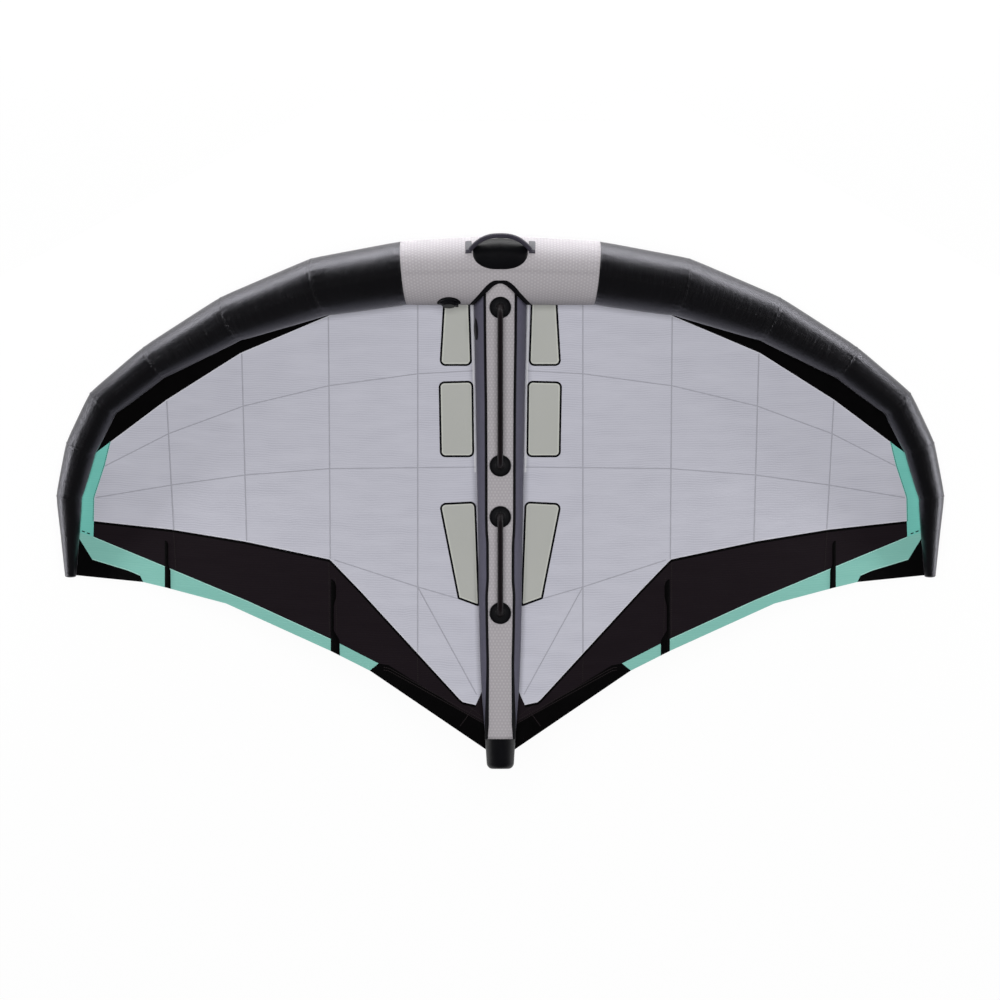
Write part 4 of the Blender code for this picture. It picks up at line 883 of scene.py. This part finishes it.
def drape(bm, lift=0.0):
    """Joins flat cut pieces and lays them on the canopy's curve."""
    merge(bm, CLOTH_MERGE)
    cut_to_grid(bm, CANOPY_CELL)
    for vert in bm.verts:
        vert.co.z = canopy_top(vert.co.x, -vert.co.y) + lift


def cloth_piece(name, bm, finishes, thickness, **rest):
    """Piece that lies on the canopy, with its face to the rider."""

    def below(face):
        return face.calc_center_median() - Vector((0.0, 0.0, 1.0))

    return piece(name, bm, finishes, below, thickness, sharp=False, **rest)


def zone_outlines():
    """Plan outlines of the canopy's cut pieces, right half, with the finish of each."""
    front = [(p[0], p[1]) for p in FRONT]
    start = ENTRY_START_SHARE * HALF_WIDTH
    entry = [(start, front_back(start))] + ENTRY_LINE
    edge = TRAILING_EDGE
    return {
        "canopy_panel": ("pale_canopy_cloth", front[:2] + entry + TIP_STRIP_LINE + PANEL_LINE),
        "canopy_entry_strip": ("black_patch_cloth", entry[::-1] + front[2:7] + TIP_STRIP_TOP),
        "canopy_tip_strip": (
            "deep_teal_canopy_cloth",
            entry[-1:] + TIP_STRIP_TOP + front[7:9] + TRAILING_CORNER + TIP_STRIP_LINE[::-1]),
        "trailing_panel": (
            "black_canopy_cloth",
            TIP_STRIP_LINE[-1:] + PANEL_LINE + PATCH_LINE + STRIP_LINE + TRAILING_CORNER),
        "trailing_strip": (
            "teal_canopy_cloth",
            TRAILING_CORNER + front[8:9] + TIP_PATCH + edge[6:1:-1] + PATCH_LINE[-1:] + STRIP_LINE),
        "tip_patch": ("black_patch_cloth", front[8:9] + TIP_PATCH + edge[6:] + front[9:]),
        "trailing_centre_patch": ("black_patch_cloth", PATCH_LINE + edge[2:0:-1] + edge[:1]),
    }


def window_outline(key, inset=0.0):
    """Window's outline, moved in by a distance and then rounded at its corners."""
    radii = [max(radius - inset, WINDOW_LEAST_CORNER) for radius in WINDOW_CORNERS[key]]
    return rounded(offset(WINDOWS[key], inset), radii)


def build_canopy():
    """The whole canopy as one sheet; its cut pieces share their edges and differ in finish."""
    zones = zone_outlines()
    finishes = sorted({finish for finish, _ in zones.values()})
    nodes = []
    bm = bmesh.new()
    for side, sign in SIDES.items():
        for key, (finish, outline) in zones.items():
            holes = [window_outline(window) for window in WINDOWS] if key == "canopy_panel" else []
            fill(bm, outline, holes, finishes.index(finish), sign)
            nodes.append(key if key == "trailing_centre_patch" else f"{key}_{side}")
    drape(bm)
    area = sum(face.calc_area() for face in bm.faces)
    nodes = sorted(set(nodes))
    return cloth_piece("canopy", bm, finishes, CANOPY_THICKNESS, nodes=nodes, slot="canopy_fabric"), area


def build_edge_join():
    """Strip that joins the canopy's front edge to the underside of the leading edge, all along it."""

    def place(u, v):
        row = abs(2.0 * v - 1.0) * TIP_SEAM
        k = min(int(row), TIP_SEAM - 1)
        share = row - k
        front = Vector(FRONT[k]).lerp(Vector(FRONT[k + 1]), share)
        edge = Vector((front.x, -front.y, front.z + CANOPY_THICKNESS / 2 + JOIN_RISE))
        if u > 0.5:
            middle = seam_point(k).lerp(seam_point(k + 1), share)
            radius = seam_radius(k) * (1.0 - share) + seam_radius(k + 1) * share
            spoke = (edge - middle).normalized()
            edge = edge.lerp(middle + spoke * (radius - JOIN_SINK), 2.0 * u - 1.0)
        elif u < 0.5:
            back = front.y + JOIN_WIDTH * (1.0 - 2.0 * u)
            edge = Vector((front.x, -back, canopy_top(front.x, back) + JOIN_RISE))
        edge.x *= math.copysign(1.0, v - 0.5)
        return edge

    bm = patch(4, 8 * TIP_SEAM, place)
    cloth_piece("leading_edge_join_strip", bm, ["black_webbing"], 0.0, slot="black_webbing")


def build_windows():
    """Film in each window, its welded rim, and the black tape sewn round it."""
    insets = (WINDOW_GAP, WINDOW_RIM, -WINDOW_TAPE_OUT, WINDOW_TAPE_IN)
    for side, sign in SIDES.items():
        for key in WINDOWS:
            film_edge, rim, outer, inner = [window_outline(key, inset) for inset in insets]
            bm = bmesh.new()
            fill(bm, film_edge, [rim], 1, sign)
            fill(bm, rim, [], 0, sign)
            drape(bm, -WINDOW_SINK)
            cloth_piece(f"window_film_{key}_{side}", bm, ["window_film", "window_film_rim"], FILM,
                        nodes=[f"window_{key}_{side}"], slot="window_film")
            bm = bmesh.new()
            fill(bm, outer, [inner], 0, sign)
            drape(bm, WINDOW_TAPE_RISE)
            cloth_piece(f"window_tape_{key}_{side}", bm, ["black_webbing"], FABRIC, slot="black_webbing")


def along(points, distance):
    """Place and direction at a distance along a line of plan points."""
    for one, two in zip(points, points[1:]):
        step = Vector(two) - Vector(one)
        if distance <= step.length or two == points[-1]:
            return Vector(one) + step.normalized() * distance, step.normalized()
        distance -= step.length


def line_length(points):
    return sum((Vector(two) - Vector(one)).length for one, two in zip(points, points[1:]))


def lay_tape(bm, points, width, lift, sign):
    """Low sewn tape along a line of plan points, its edges on the canopy."""
    total = line_length(points)
    rows = max(TAPE_LEAST_ROWS, round(total / TAPE_STEP))

    def place(u, v):
        here, run = along(points, v * total)
        plan = here + Vector((-run.y, run.x)) * ((u - 0.5) * width)
        crown = SEAM_TAPE_RISE * (1.0 - (2.0 * u - 1.0) ** 4)
        return Vector((plan.x * sign, -plan.y, canopy_top(plan.x, plan.y) + lift + crown))

    patch(6, rows, place, lambda u, v: (v * total, u * width), bm=bm)


def shifted(points, distance):
    """Line of plan points moved back by a distance."""
    return [(across, back + distance) for across, back in points]


def sewn_rows():
    """Seams, hems and lines of stitches on half the canopy: name, finish, lines, width and lift of each."""
    panel_line = TIP_STRIP_LINE[-1:] + PANEL_LINE[:6]
    entry_line = zone_outlines()["canopy_panel"][1][2:7]
    pale = [shifted(panel_line, -PALE_HEM * 0.8), shifted(entry_line, PALE_HEM * 0.8)]
    hems = [shifted(TRAILING_CORNER + STRIP_LINE[::-1], PALE_HEM * 0.7), shifted(TIP_PATCH, -PALE_HEM * 0.7)]
    teal_line = [(across + THREAD_LINE, back) for across, back in ENTRY_LINE[-1:] + TIP_STRIP_LINE]
    # Painted light: a bright strip beside the strut, lighter than the canopy it lies on.
    joins = [(strut_half_width(back) + PAINTED_LIGHT_STRIP_WIDTH, back) for back in PAINTED_LIGHT_STRIP_BACKS]
    black = [shifted(panel_line, BLACK_HEM * 0.6)]
    return (
        ("canopy_seams", "seam_tape", SEAM_LINES[:STRAIGHT_SEAMS], SEAM_TAPE, 0.0001),
        ("canopy_cross_seams", "seam_tape", SEAM_LINES[STRAIGHT_SEAMS:], CROSS_SEAM_TAPE, 0.0002),
        ("trailing_panel_hem", "black_patch_cloth", black, BLACK_HEM, 0.0003),
        ("canopy_border_tape", "pale_tape", pale, PALE_HEM, 0.0003),
        ("tip_strip_stitches", "teal_stitching", [teal_line], THREAD_LINE, 0.0002),
        ("trailing_stitches", "black_stitching", STITCHED_LINES, THREAD_LINE, 0.0002),
        ("trailing_strip_hem", "teal_hem", hems, PALE_HEM, 0.0002),
        ("strut_painted_light_strip", "bright_tape", [joins], PAINTED_LIGHT_STRIP_WIDTH, 0.0002),
        ("tip_strip_tacks", "black_webbing", TACKS, TACK_WIDTH, 0.0006),
    )


def build_seams():
    for side, sign in SIDES.items():
        for name, finish, lines, width, lift in sewn_rows():
            bm = bmesh.new()
            for line in lines:
                lay_tape(bm, line, width, lift, sign)
            cloth_piece(f"{name}_{side}", bm, [finish], FILM)


def build_pockets():
    """Sewn batten pockets: a rounded head, a narrow run and a wide tuck-in end at the trailing edge."""
    ends = list(zip(*TRAILING_EDGE))
    for side, sign in SIDES.items():
        for key, top in POCKET_TOPS.items():

            def place(u, v, top=top, key=key, sign=sign):
                width = interpolate(v, *POCKET_PROFILES[key])
                across = top[0] - width * u
                back = top[1] + v * (interpolate(across, *ends) - top[1])
                crown = POCKET_RISE * (1.0 - abs(2.0 * u - 1.0) ** 3) * min(1.0, width / POCKET_FULL_WIDTH)
                return Vector((across * sign, -back, canopy_top(across, back) + POCKET_CLEARANCE + crown))

            bm = patch(12, 80, place)
            name = f"batten_pocket_{key}_{side}"
            cloth_piece(name, bm, ["black_patch_cloth"], POCKET_CLOTH, nodes=[name], slot="black_webbing")


# Strut

STRUT_STATIONS = [TUBE_RADIUS * STRUT_HEAD_SHARE] + [share * HALF_WIDTH for share in STRUT_BACK_SHARES]
STRUT_HALVES = [share * TUBE_RADIUS for share in STRUT_WIDTH_SHARES]
STRIP_STATIONS = [share * HALF_WIDTH for share in STRIP_BACK_SHARES]
PIPING_STATIONS = [share * HALF_WIDTH for share in PIPING_BACK_SHARES]


def eased(back, places, values, reach):
    """Value from a table of places along the strut, averaged over a short reach."""
    return sum(interpolate(back + step * reach, places, values) for step in (-1.0, -0.5, 0.0, 0.5, 1.0)) / 5


def strut_half_width(back):
    return eased(back, STRUT_STATIONS, STRUT_HALVES, STRUT_EASE)


def strut_section(back, grow=0.0):
    """Half width, half height and middle height of the strut."""
    half = strut_half_width(back)
    start, end = STRUT_STATIONS[0], STRUT_STATIONS[-1]
    share = min(max((back - start) / (end - start), 0.0), 1.0)
    ratio = HEAD_HEIGHT_RATIO + share * (TAIL_HEIGHT_RATIO - HEAD_HEIGHT_RATIO)
    base = canopy_top(0.0, back) + STRUT_CLEARANCE
    return half + grow, half * ratio + grow, base + half * ratio


def strut_point(back, angle, grow=0.0):
    half, half_height, middle = strut_section(back, grow)
    return Vector((half * math.sin(angle), -back, middle + half_height * math.cos(angle)))


def strut_top(back):
    _, half_height, middle = strut_section(back)
    return middle + half_height


def strut_start(angle, grow):
    """Place back where the strut's skin at this angle meets the leading edge tube."""
    back = TUBE_RADIUS
    for _ in range(8):
        height = strut_point(back, angle, grow).z
        back = math.sqrt(max(TUBE_RADIUS ** 2 - height ** 2, 0.0))
    return back


def strip_share(back):
    """Half of the top strip's width as a share of the strut's."""
    half = eased(back, STRIP_STATIONS, STRIP_HALVES, STRIP_EASE)
    return min(half / strut_half_width(back), STRIP_MOST_SHARE)


def strip_angle(back):
    return math.asin(strip_share(back))


def piping_reach(back):
    """Half of the piping's angle round the strut."""
    lean = math.sqrt(1.0 - strip_share(back) ** 2)
    half = eased(back, PIPING_STATIONS, PIPING_WIDTHS, STRIP_EASE) / 2
    return min(half / strut_half_width(back) / lean, PIPING_MOST_ANGLE)


def strut_skin(low, high, columns, rows, grow=0.0, profile=None):
    """Skin between two angles, each a function of the place back, from the leading edge to the tail."""
    end = STRUT_STATIONS[-1]

    def where(u, v):
        back = TUBE_RADIUS + (end - TUBE_RADIUS) * v
        start = strut_start(low(back) + (high(back) - low(back)) * u, grow)
        back = start + (end - start) * v
        return back, low(back) + (high(back) - low(back)) * u

    def place(u, v):
        back, angle = where(u, v)
        return strut_point(back, angle, grow + (profile(u) if profile else 0.0))

    def metres(u, v):
        back, angle = where(u, v)
        return angle * strut_half_width(back), back

    def edge(u, v):
        back = where(u, v)[0]
        return min(u, 1.0 - u) * (high(back) - low(back)) * strut_half_width(back)

    return patch(columns, rows, place, metres, edge)


def strut_axis(face):
    point = face.calc_center_median()
    return Vector((0.0, point.y, strut_section(-point.y)[2]))


def build_strut():
    bm = strut_skin(strip_angle, lambda back: math.tau - strip_angle(back), 96, STRUT_ROWS)
    piece("strut_sleeve", bm, ["slate_sleeve_cloth"], strut_axis, FABRIC, nodes=["strut_sleeve"],
          slot="slate_fabric")
    bm = strut_skin(lambda back: -strip_angle(back), strip_angle, 32, STRUT_ROWS)
    piece("strut_top_strip", bm, ["light_dotted_sleeve_cloth"], strut_axis, FABRIC, nodes=["strut_top_strip"],
          slot="light_fabric")
    for side, sign in SIDES.items():
        bm = strut_skin(
            lambda back, sign=sign: sign * strip_angle(back) - piping_reach(back),
            lambda back, sign=sign: sign * strip_angle(back) + piping_reach(back), 10, 160, 0.0002,
            lambda u: PIPING_RISE * math.sqrt(max(0.0, 1.0 - (2.0 * u - 1.0) ** 2)))
        piece(f"strut_piping_{side}", bm, ["black_webbing"], strut_axis, PIPING_CLOTH, slot="black_webbing")
    build_saddle()
    build_cap()


def build_strut_bladder():
    """Film tube inside the strut's sleeve, with rounded ends."""
    start, end = STRUT_STATIONS[0] + TUBE_RADIUS, STRUT_STATIONS[-1] - BLADDER_INSET

    def place(u, v):
        back = start + (end - start) * v
        near = min(back - start, end - back) / STRUT_BLADDER_ROUND
        close = math.sqrt(max(0.0, 1.0 - (1.0 - min(near, 1.0)) ** 2)) * 0.9 + 0.1
        middle = Vector((0.0, -back, strut_section(back)[2]))
        return middle.lerp(strut_point(back, math.tau * u, -BLADDER_INSET), close)

    bm = patch(BLADDER_COLUMNS, STRUT_ROWS, place, capped=True)
    piece("strut_bladder_film", bm, ["bladder_film"], nodes=["strut_bladder"], slot="clear_bladder")


def saddle_swell(across):
    """How far the band runs forward of the plain seam on both flanks of its crown."""
    return SADDLE_SWELL * smooth_share(across / 0.03) * (1.0 - 0.7 * smooth_share((across - 0.045) / 0.025))


def build_saddle():
    """Webbing sewn over the seam between strut and leading edge."""
    step = math.radians(1)

    def seam(angle):
        return strut_point(strut_start(angle, GAP), angle, GAP)

    def place(u, v):
        angle = (2.0 * u - 1.0) * SADDLE_END_ANGLE
        here = seam(angle)
        along_seam = (seam(angle + step) - seam(angle - step)).normalized()
        out = Vector((0.0, here.y, here.z)).normalized()
        away = out.cross(along_seam).normalized()
        width = SADDLE_WIDTH + SADDLE_LEG_WIDENING * smooth_share(abs(here.x) / 0.05)
        here = here + away * (v * width)
        here.y += saddle_swell(abs(here.x)) * (0.3 + 0.7 * v)
        lift = GAP + SADDLE_RISE * (1.0 - abs(2.0 * v - 1.0) ** 4)
        skin = Vector((0.0, here.y, here.z)).normalized() * (TUBE_RADIUS + lift)
        return Vector((here.x, skin.y, skin.z))

    bm = patch(120, 10, place)
    piece("strut_saddle_band", bm, ["black_webbing"], tube_axis, PATCH_CLOTH, nodes=["strut_saddle"],
          slot="black_webbing")


def build_cap():
    start = STRUT_STATIONS[-1] + GAP
    half, half_height, middle = strut_section(start)
    straight_rows = CAP_ROWS - CAP_ROUND_ROWS

    def place(u, v):
        row = v * CAP_ROWS
        fall = math.pi / 2 * max(0.0, row - straight_rows) / CAP_ROUND_ROWS
        run = (CAP_LENGTH - CAP_ROUND) * min(1.0, row / straight_rows) + CAP_ROUND * math.sin(fall)
        shrink = 1.0 - CAP_ROUND / half * (1.0 - math.cos(fall))
        share = (1.0 - (1.0 - CAP_END_SHARE) * run / CAP_LENGTH) * shrink
        height = middle + canopy_height(0.0, start + run) - canopy_height(0.0, start)
        rim = unit_ring(math.tau * u) * share
        return Vector((half * rim.x, -start - run, height + half_height * rim.y))

    bm = patch(96, CAP_ROWS, place, capped=True)
    piece("strut_end_cap_moulding", bm, ["black_plastic"], nodes=["strut_end_cap"], slot="black_plastic")


# Handles

def handle_places():
    start = TUBE_RADIUS + FIRST_BASE_REACH
    front = (start, start + FRONT_HANDLE_LENGTH)
    second = front[1] + HANDLE_SPACING
    return {"front": front, "rear": (second, second + REAR_HANDLE_LENGTH)}


def filleted(corners, radius):
    """Path with its inner corners rounded."""
    shares = [math.sin(math.pi / 2 * k / BEND_STEPS) ** 2 for k in range(BEND_STEPS + 1)]
    path = [corners[0]]
    for before, here, after in zip(corners, corners[1:], corners[2:]):
        path += fillet(before, here, after, radius, shares)
    return path + [corners[-1]]


def resampled(path, count):
    """The path's points again, evenly spaced, and its length."""
    lengths = [(two - one).length for one, two in zip(path, path[1:])]
    places = [sum(lengths[:k]) for k in range(len(path))]
    result = []
    for k in range(count + 1):
        run = places[-1] * k / count
        result.append(Vector([interpolate(run, places, values) for values in zip(*path)]))
    return result, places[-1]


def sweep(path, side, section, columns):
    """Closed section carried along a path; section(u, share) gives (across, up) at each place."""
    rows = len(path) - 1

    def place(u, v):
        k = round(v * rows)
        ahead = (path[min(k + 1, rows)] - path[max(k - 1, 0)]).normalized()
        across, height = section(u, k / rows)
        return path[k] + side * across + side.cross(ahead).normalized() * height

    return patch(columns, rows, place, capped=True)


def build_handles():
    for name, backs in handle_places().items():
        feet = [Vector((0.0, -back, strut_top(back))) for back in backs]
        for number, foot in enumerate(feet, 1):
            build_base(f"{name}_handle_base_{number}", foot)
        lift = Vector((0.0, 0.0, BASE_FOOT_HEIGHT + GAP))
        rail = Vector((0.0, 0.0, RAIL_HEIGHT))
        corners = [feet[0] + lift, feet[0] + rail, feet[1] + rail, feet[1] + lift]
        path, total = resampled(filleted(corners, ROD_BEND), ROD_STEPS)

        def section(u, share, total=total):
            flare = max(0.0, 1.0 - min(share, 1.0 - share) * total / ROD_BEND)
            radius = ROD_RADIUS + (ROD_FOOT_RADIUS - ROD_RADIUS) * flare ** 2
            return radius * math.cos(math.tau * u), radius * math.sin(math.tau * u)

        bm = sweep(path, Vector((1.0, 0.0, 0.0)), section, 40)
        piece(f"{name}_handle_rail", bm, ["rod_composite"], nodes=[f"{name}_handle_rod"],
              slot="rod_composite")


def build_base(name, foot):
    """Round base: a bead round its rim, a groove, and a domed rubber disc up to the rod."""
    rim = BASE_RADIUS
    profile = (
        (rim - 0.0008, -BASE_SINK), (rim, 0.001), (rim, 0.0068), (rim - 0.0009, 0.009),
        (rim - 0.0028, 0.0101), (rim - 0.0048, 0.0094), (rim - 0.0056, 0.008), (rim - 0.006, 0.007),
        (rim - 0.0066, 0.0076), (rim - 0.009, 0.0094), (0.022, 0.0112), (0.018, 0.0124),
        (0.016, 0.0138), (0.0148, 0.015), (0.0135, 0.0153), (0.0002, 0.0153),
    )
    bm = bmesh.new()
    row = [bm.verts.new((radius, 0.0, height)) for radius, height in profile]
    lines = [bm.edges.new(pair) for pair in zip(row, row[1:])]
    bmesh.ops.spin(
        bm, geom=row + lines, cent=(0.0, 0.0, 0.0), axis=(0.0, 0.0, 1.0), angle=math.tau, steps=BASE_STEPS,
        use_merge=True, use_duplicate=False)
    merge(bm)
    bmesh.ops.translate(bm, vec=foot, verts=bm.verts[:])
    for vert in bm.verts:
        if vert.co.z < foot.z + BASE_FIT_HEIGHT:
            half, half_height, middle = strut_section(-vert.co.y)
            share = min(abs(vert.co.x) / half, 1.0)
            vert.co.z = middle + half_height * math.sqrt(1.0 - share ** 2) - BASE_SEAT_DEPTH
    for face in bm.faces:
        distance = (face.calc_center_median() - foot).xy.length
        face.material_index = 1 if distance < rim - BASE_BEAD_WIDTH else 0
    bmesh.ops.holes_fill(bm, edges=bm.edges[:], sides=0)
    piece(f"{name}_moulding", bm, ["black_plastic", "black_rubber"], nodes=[name], slot="black_foam")


def around_tube(across, angle, radius):
    return Vector((across, radius * math.sin(angle), radius * math.cos(angle)))


def on_tube(across, angle, lift):
    """Point on the centre panel; the angle goes forward from the rider's side."""
    share = abs(across) / (SEAM_ACROSS_SHARES[CENTRE_SEAM] * HALF_WIDTH)
    middle = seam_point(0).lerp(seam_point(CENTRE_SEAM), share)
    radius = TUBE_RADIUS * (1.0 + share * (SEAM_RADIUS_SHARES[CENTRE_SEAM] - 1.0)) + lift
    return around_tube(across, angle, radius) + Vector((0.0, middle.y, middle.z))


def tube_axis(face):
    return Vector((face.calc_center_median().x, 0.0, 0.0))


def build_valve_patch():
    """Round black reinforcement that the inflation valve stands on."""

    def place(u, v):
        reach, turn = VALVE_PATCH_RADIUS * v, math.tau * u
        angle = -VALVE_ANGLE + reach * math.sin(turn) / TUBE_RADIUS
        lift = VALVE_PATCH_RISE * (1.0 - v ** 8)
        return on_tube(-VALVE_ACROSS + reach * math.cos(turn), angle, PATCH_CLOTH + lift)

    bm = patch(72, 12, place, closed=True)
    piece("valve_patch", bm, ["black_webbing"], tube_axis, PATCH_CLOTH, slot="black_webbing")


def squared(turn, power):
    """A point of a round turned to a squarer outline."""
    return [math.copysign(abs(value) ** power, value) for value in (math.cos(turn), math.sin(turn))]


def build_strap():
    """Webbing arch over the middle of the leading edge."""
    foot = around_tube(0.0, STRAP_FOOT_ANGLE, TUBE_RADIUS - STRAP_FOOT_SINK)
    top = around_tube(0.0, STRAP_TOP_ANGLE, TUBE_RADIUS + STRAP_STANDOFF - STRAP_LOWERING)
    rise = top - foot
    path = []
    for k in range(STRAP_STEPS + 1):
        t = -1.0 + 2.0 * k / STRAP_STEPS
        path.append(foot + Vector((STRAP_HALF * t, 0.0, 0.0)) + rise * (1.0 - abs(t) ** STRAP_ARCH_POWER))

    def section(u, share):
        a, b = squared(math.tau * u, 0.6)
        return a * STRAP_WIDTH / 2, -b * STRAP_THICKNESS / 2

    bm = sweep(path, Vector((1.0, 0.0, 0.0)).cross(rise.normalized()), section, 40)
    piece("leading_edge_grab_strap", bm, ["strap_cover_cloth"], nodes=["leading_edge_handle_strap"],
          slot="black_webbing")


def build_pad():
    """Oval cushion under the strap."""
    half_share = math.sin(PAD_HALF_ANGLE)

    def place(u, v):
        a, b = squared(math.tau * u, 0.83)
        crown = PAD_THICKNESS * math.sqrt(max(0.0, 1.0 - v ** 6))
        return on_tube(PAD_HALF * a * v, PAD_ANGLE + math.asin(half_share * b * v), PATCH_GAP + crown)

    bm = patch(96, 24, place, closed=True)
    return piece("leading_edge_handle_cushion", bm, ["gloss_black_pad"], tube_axis, PATCH_CLOTH,
                 nodes=["leading_edge_handle_pad"], slot="black_foam")


def build_tabs():
    """Square patches that the strap's ends are sewn on, with a darker lower part."""
    for side, sign in SIDES.items():
        inner = STRAP_HALF - TAB_LENGTH / 4
        bm = bmesh.new()
        parts = ((TAB_DARK_SHARE, 1.0, 28, 0), (0.0, TAB_DARK_SHARE, 12, 1))
        for low, high, rows, material in parts:

            def place(u, v, low=low, high=high, sign=sign):
                v = low + (high - low) * v
                angle = TAB_LOW_ANGLE + (TAB_HIGH_ANGLE - TAB_LOW_ANGLE) * v
                edge = min(min(u, 1.0 - u) * TAB_LENGTH, min(v, 1.0 - v) * TAB_DEPTH)
                rise = TAB_THICKNESS * min(1.0, edge / TAB_EDGE) ** 0.5
                return on_tube(sign * (inner + TAB_LENGTH * u), angle, PATCH_GAP + rise)

            patch(20, rows, place, bm=bm, material=material)
        merge(bm, TAB_MERGE)
        piece(f"leading_edge_handle_tab_cloth_{side}", bm, ["grey_webbing", "strap_cover_cloth"], tube_axis,
              PATCH_CLOTH, nodes=[f"leading_edge_handle_tab_{side}"], slot="grey_webbing")


# Studio

def make_floor_finish():
    """Pale floor that shows as white to the camera and in reflections, and still takes a shadow."""
    tone = (FLOOR_TONE, FLOOR_TONE, FLOOR_TONE, 1.0)
    finish = Finish("pale_floor", Base_Color=tone, Roughness=0.9, Specular_IOR_Level=0.0)
    rays = finish.node("ShaderNodeLightPath").socket.node.outputs
    seen = Wire(finish, rays["Is Camera Ray"])
    for name in ("Is Glossy Ray", "Is Transmission Ray"):
        seen = seen.high(Wire(finish, rays[name]))
    glow = finish.node("ShaderNodeEmission", None, {"Strength": 1.0})
    plain = Wire(finish, finish.shader.outputs[0])
    blend = finish.node("ShaderNodeMixShader", None, {0: seen * FLOOR_GLOW_SHARE, 1: plain, 2: glow})
    finish.tree.links.new(blend.socket, finish.tree.nodes["Material Output"].inputs["Surface"])
    return finish.material


def build_studio():
    world = bpy.data.worlds.new("studio")
    bpy.context.scene.world = world
    world.use_nodes = True
    tree = world.node_tree
    background = tree.nodes["Background"]
    background.inputs["Color"].default_value = (1.0, 1.0, 1.0, 1.0)
    seen = tree.nodes.new("ShaderNodeLightPath").outputs["Is Camera Ray"]
    level = tree.nodes.new("ShaderNodeMapRange")
    level.inputs["To Min"].default_value = WORLD_LEVEL
    tree.links.new(seen, level.inputs["Value"])
    tree.links.new(level.outputs[0], background.inputs["Strength"])
    bm = bmesh.new()
    bmesh.ops.create_grid(bm, x_segments=1, y_segments=1, size=FLOOR_HALF)
    mesh = bpy.data.meshes.new("floor")
    bm.to_mesh(mesh)
    bm.free()
    mesh.materials.append(make_floor_finish())
    new_object("floor", mesh)


def add_lamp(name, place, target, width, length, power):
    data = bpy.data.lights.new(name, "AREA")
    data.shape = "RECTANGLE"
    data.size = width
    data.size_y = length
    data.energy = power
    lamp = new_object(name, data)
    lamp.location = place
    lamp.rotation_euler = (Vector(target) - Vector(place)).to_track_quat("-Z", "Y").to_euler()
    return lamp


def build_lamps():
    main_lamp = add_lamp("overhead_softbox", (0.0, 2.5, 12.0), (0.0, 0.0, 0.2), 5.0, 5.0, OVERHEAD_POWER)
    main_lamp.visible_glossy = False
    height = EDGE_LIGHT_HEIGHT
    add_lamp("leading_edge_strip_light", (0.0, 1.76, height), (0.0, 0.7, height), 6.0, 0.19, 15.5)
    for across, along_wing, turn in LOW_LIGHTS:
        place = Vector((across, along_wing, LOW_LIGHT_HEIGHT))
        add_lamp("low_strip_light", place, place - unit_ring(turn), 1.25, 0.095, 3.6)
    for side, sign in SIDES.items():
        add_lamp(f"{side}_strip_light", (sign * 2.2, -0.05, 0.09), (sign * 1.4, -0.05, 0.09), 1.4, 0.14, 8.0)


def build_camera():
    data = bpy.data.cameras.new("camera")
    data.sensor_width = SENSOR_WIDTH
    data.lens = SENSOR_WIDTH * CAMERA_DISTANCE / (METRES_PER_PIXEL * PHOTO_SIZE)
    data.clip_end = CAMERA_DISTANCE * 3
    camera = new_object("camera", data)
    across = (PHOTO_SIZE / 2 - PHOTO_MIDDLE_X) * METRES_PER_PIXEL
    back = (PHOTO_SIZE / 2 - PHOTO_TUBE_Y) * METRES_PER_PIXEL
    target = WING @ Vector((across, -back, 0.0))
    out = WING.to_3x3() @ Vector((0.0, 0.0, 1.0))
    up = WING.to_3x3() @ Vector((0.0, 1.0, 0.0))
    turn = Matrix((up.cross(out), up, out)).transposed().to_4x4()
    camera.matrix_world = Matrix.Translation(target + out * CAMERA_DISTANCE) @ turn
    bpy.context.scene.camera = camera


def dress_nodes():
    """Finishes for the CAD nodes that stay."""
    kept = {
        "black_plastic": ["bladder_link_cover"],
        "valve_plastic": ["valve_base", "valve_body", "valve_cap"],
        "poppet_plastic": ["valve_poppet"],
        "bladder_film": ["bladder_link_pipe"],
    }
    for finish, names in kept.items():
        for name in names:
            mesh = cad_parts[name].data
            mesh.materials.clear()
            mesh.materials.append(FINISHES[finish])


def build_scene():
    bpy.context.scene.view_settings.view_transform = "Standard"
    build_camera()
    build_studio()
    build_lamps()
    build_leading_edge()
    build_edge_bladder()
    canopy, area = build_canopy()
    build_edge_join()
    build_windows()
    build_seams()
    build_pockets()
    build_strut()
    build_strut_bladder()
    build_handles()
    build_valve_patch()
    build_strap()
    pad = build_pad()
    build_tabs()
    dress_nodes()


build_scene()
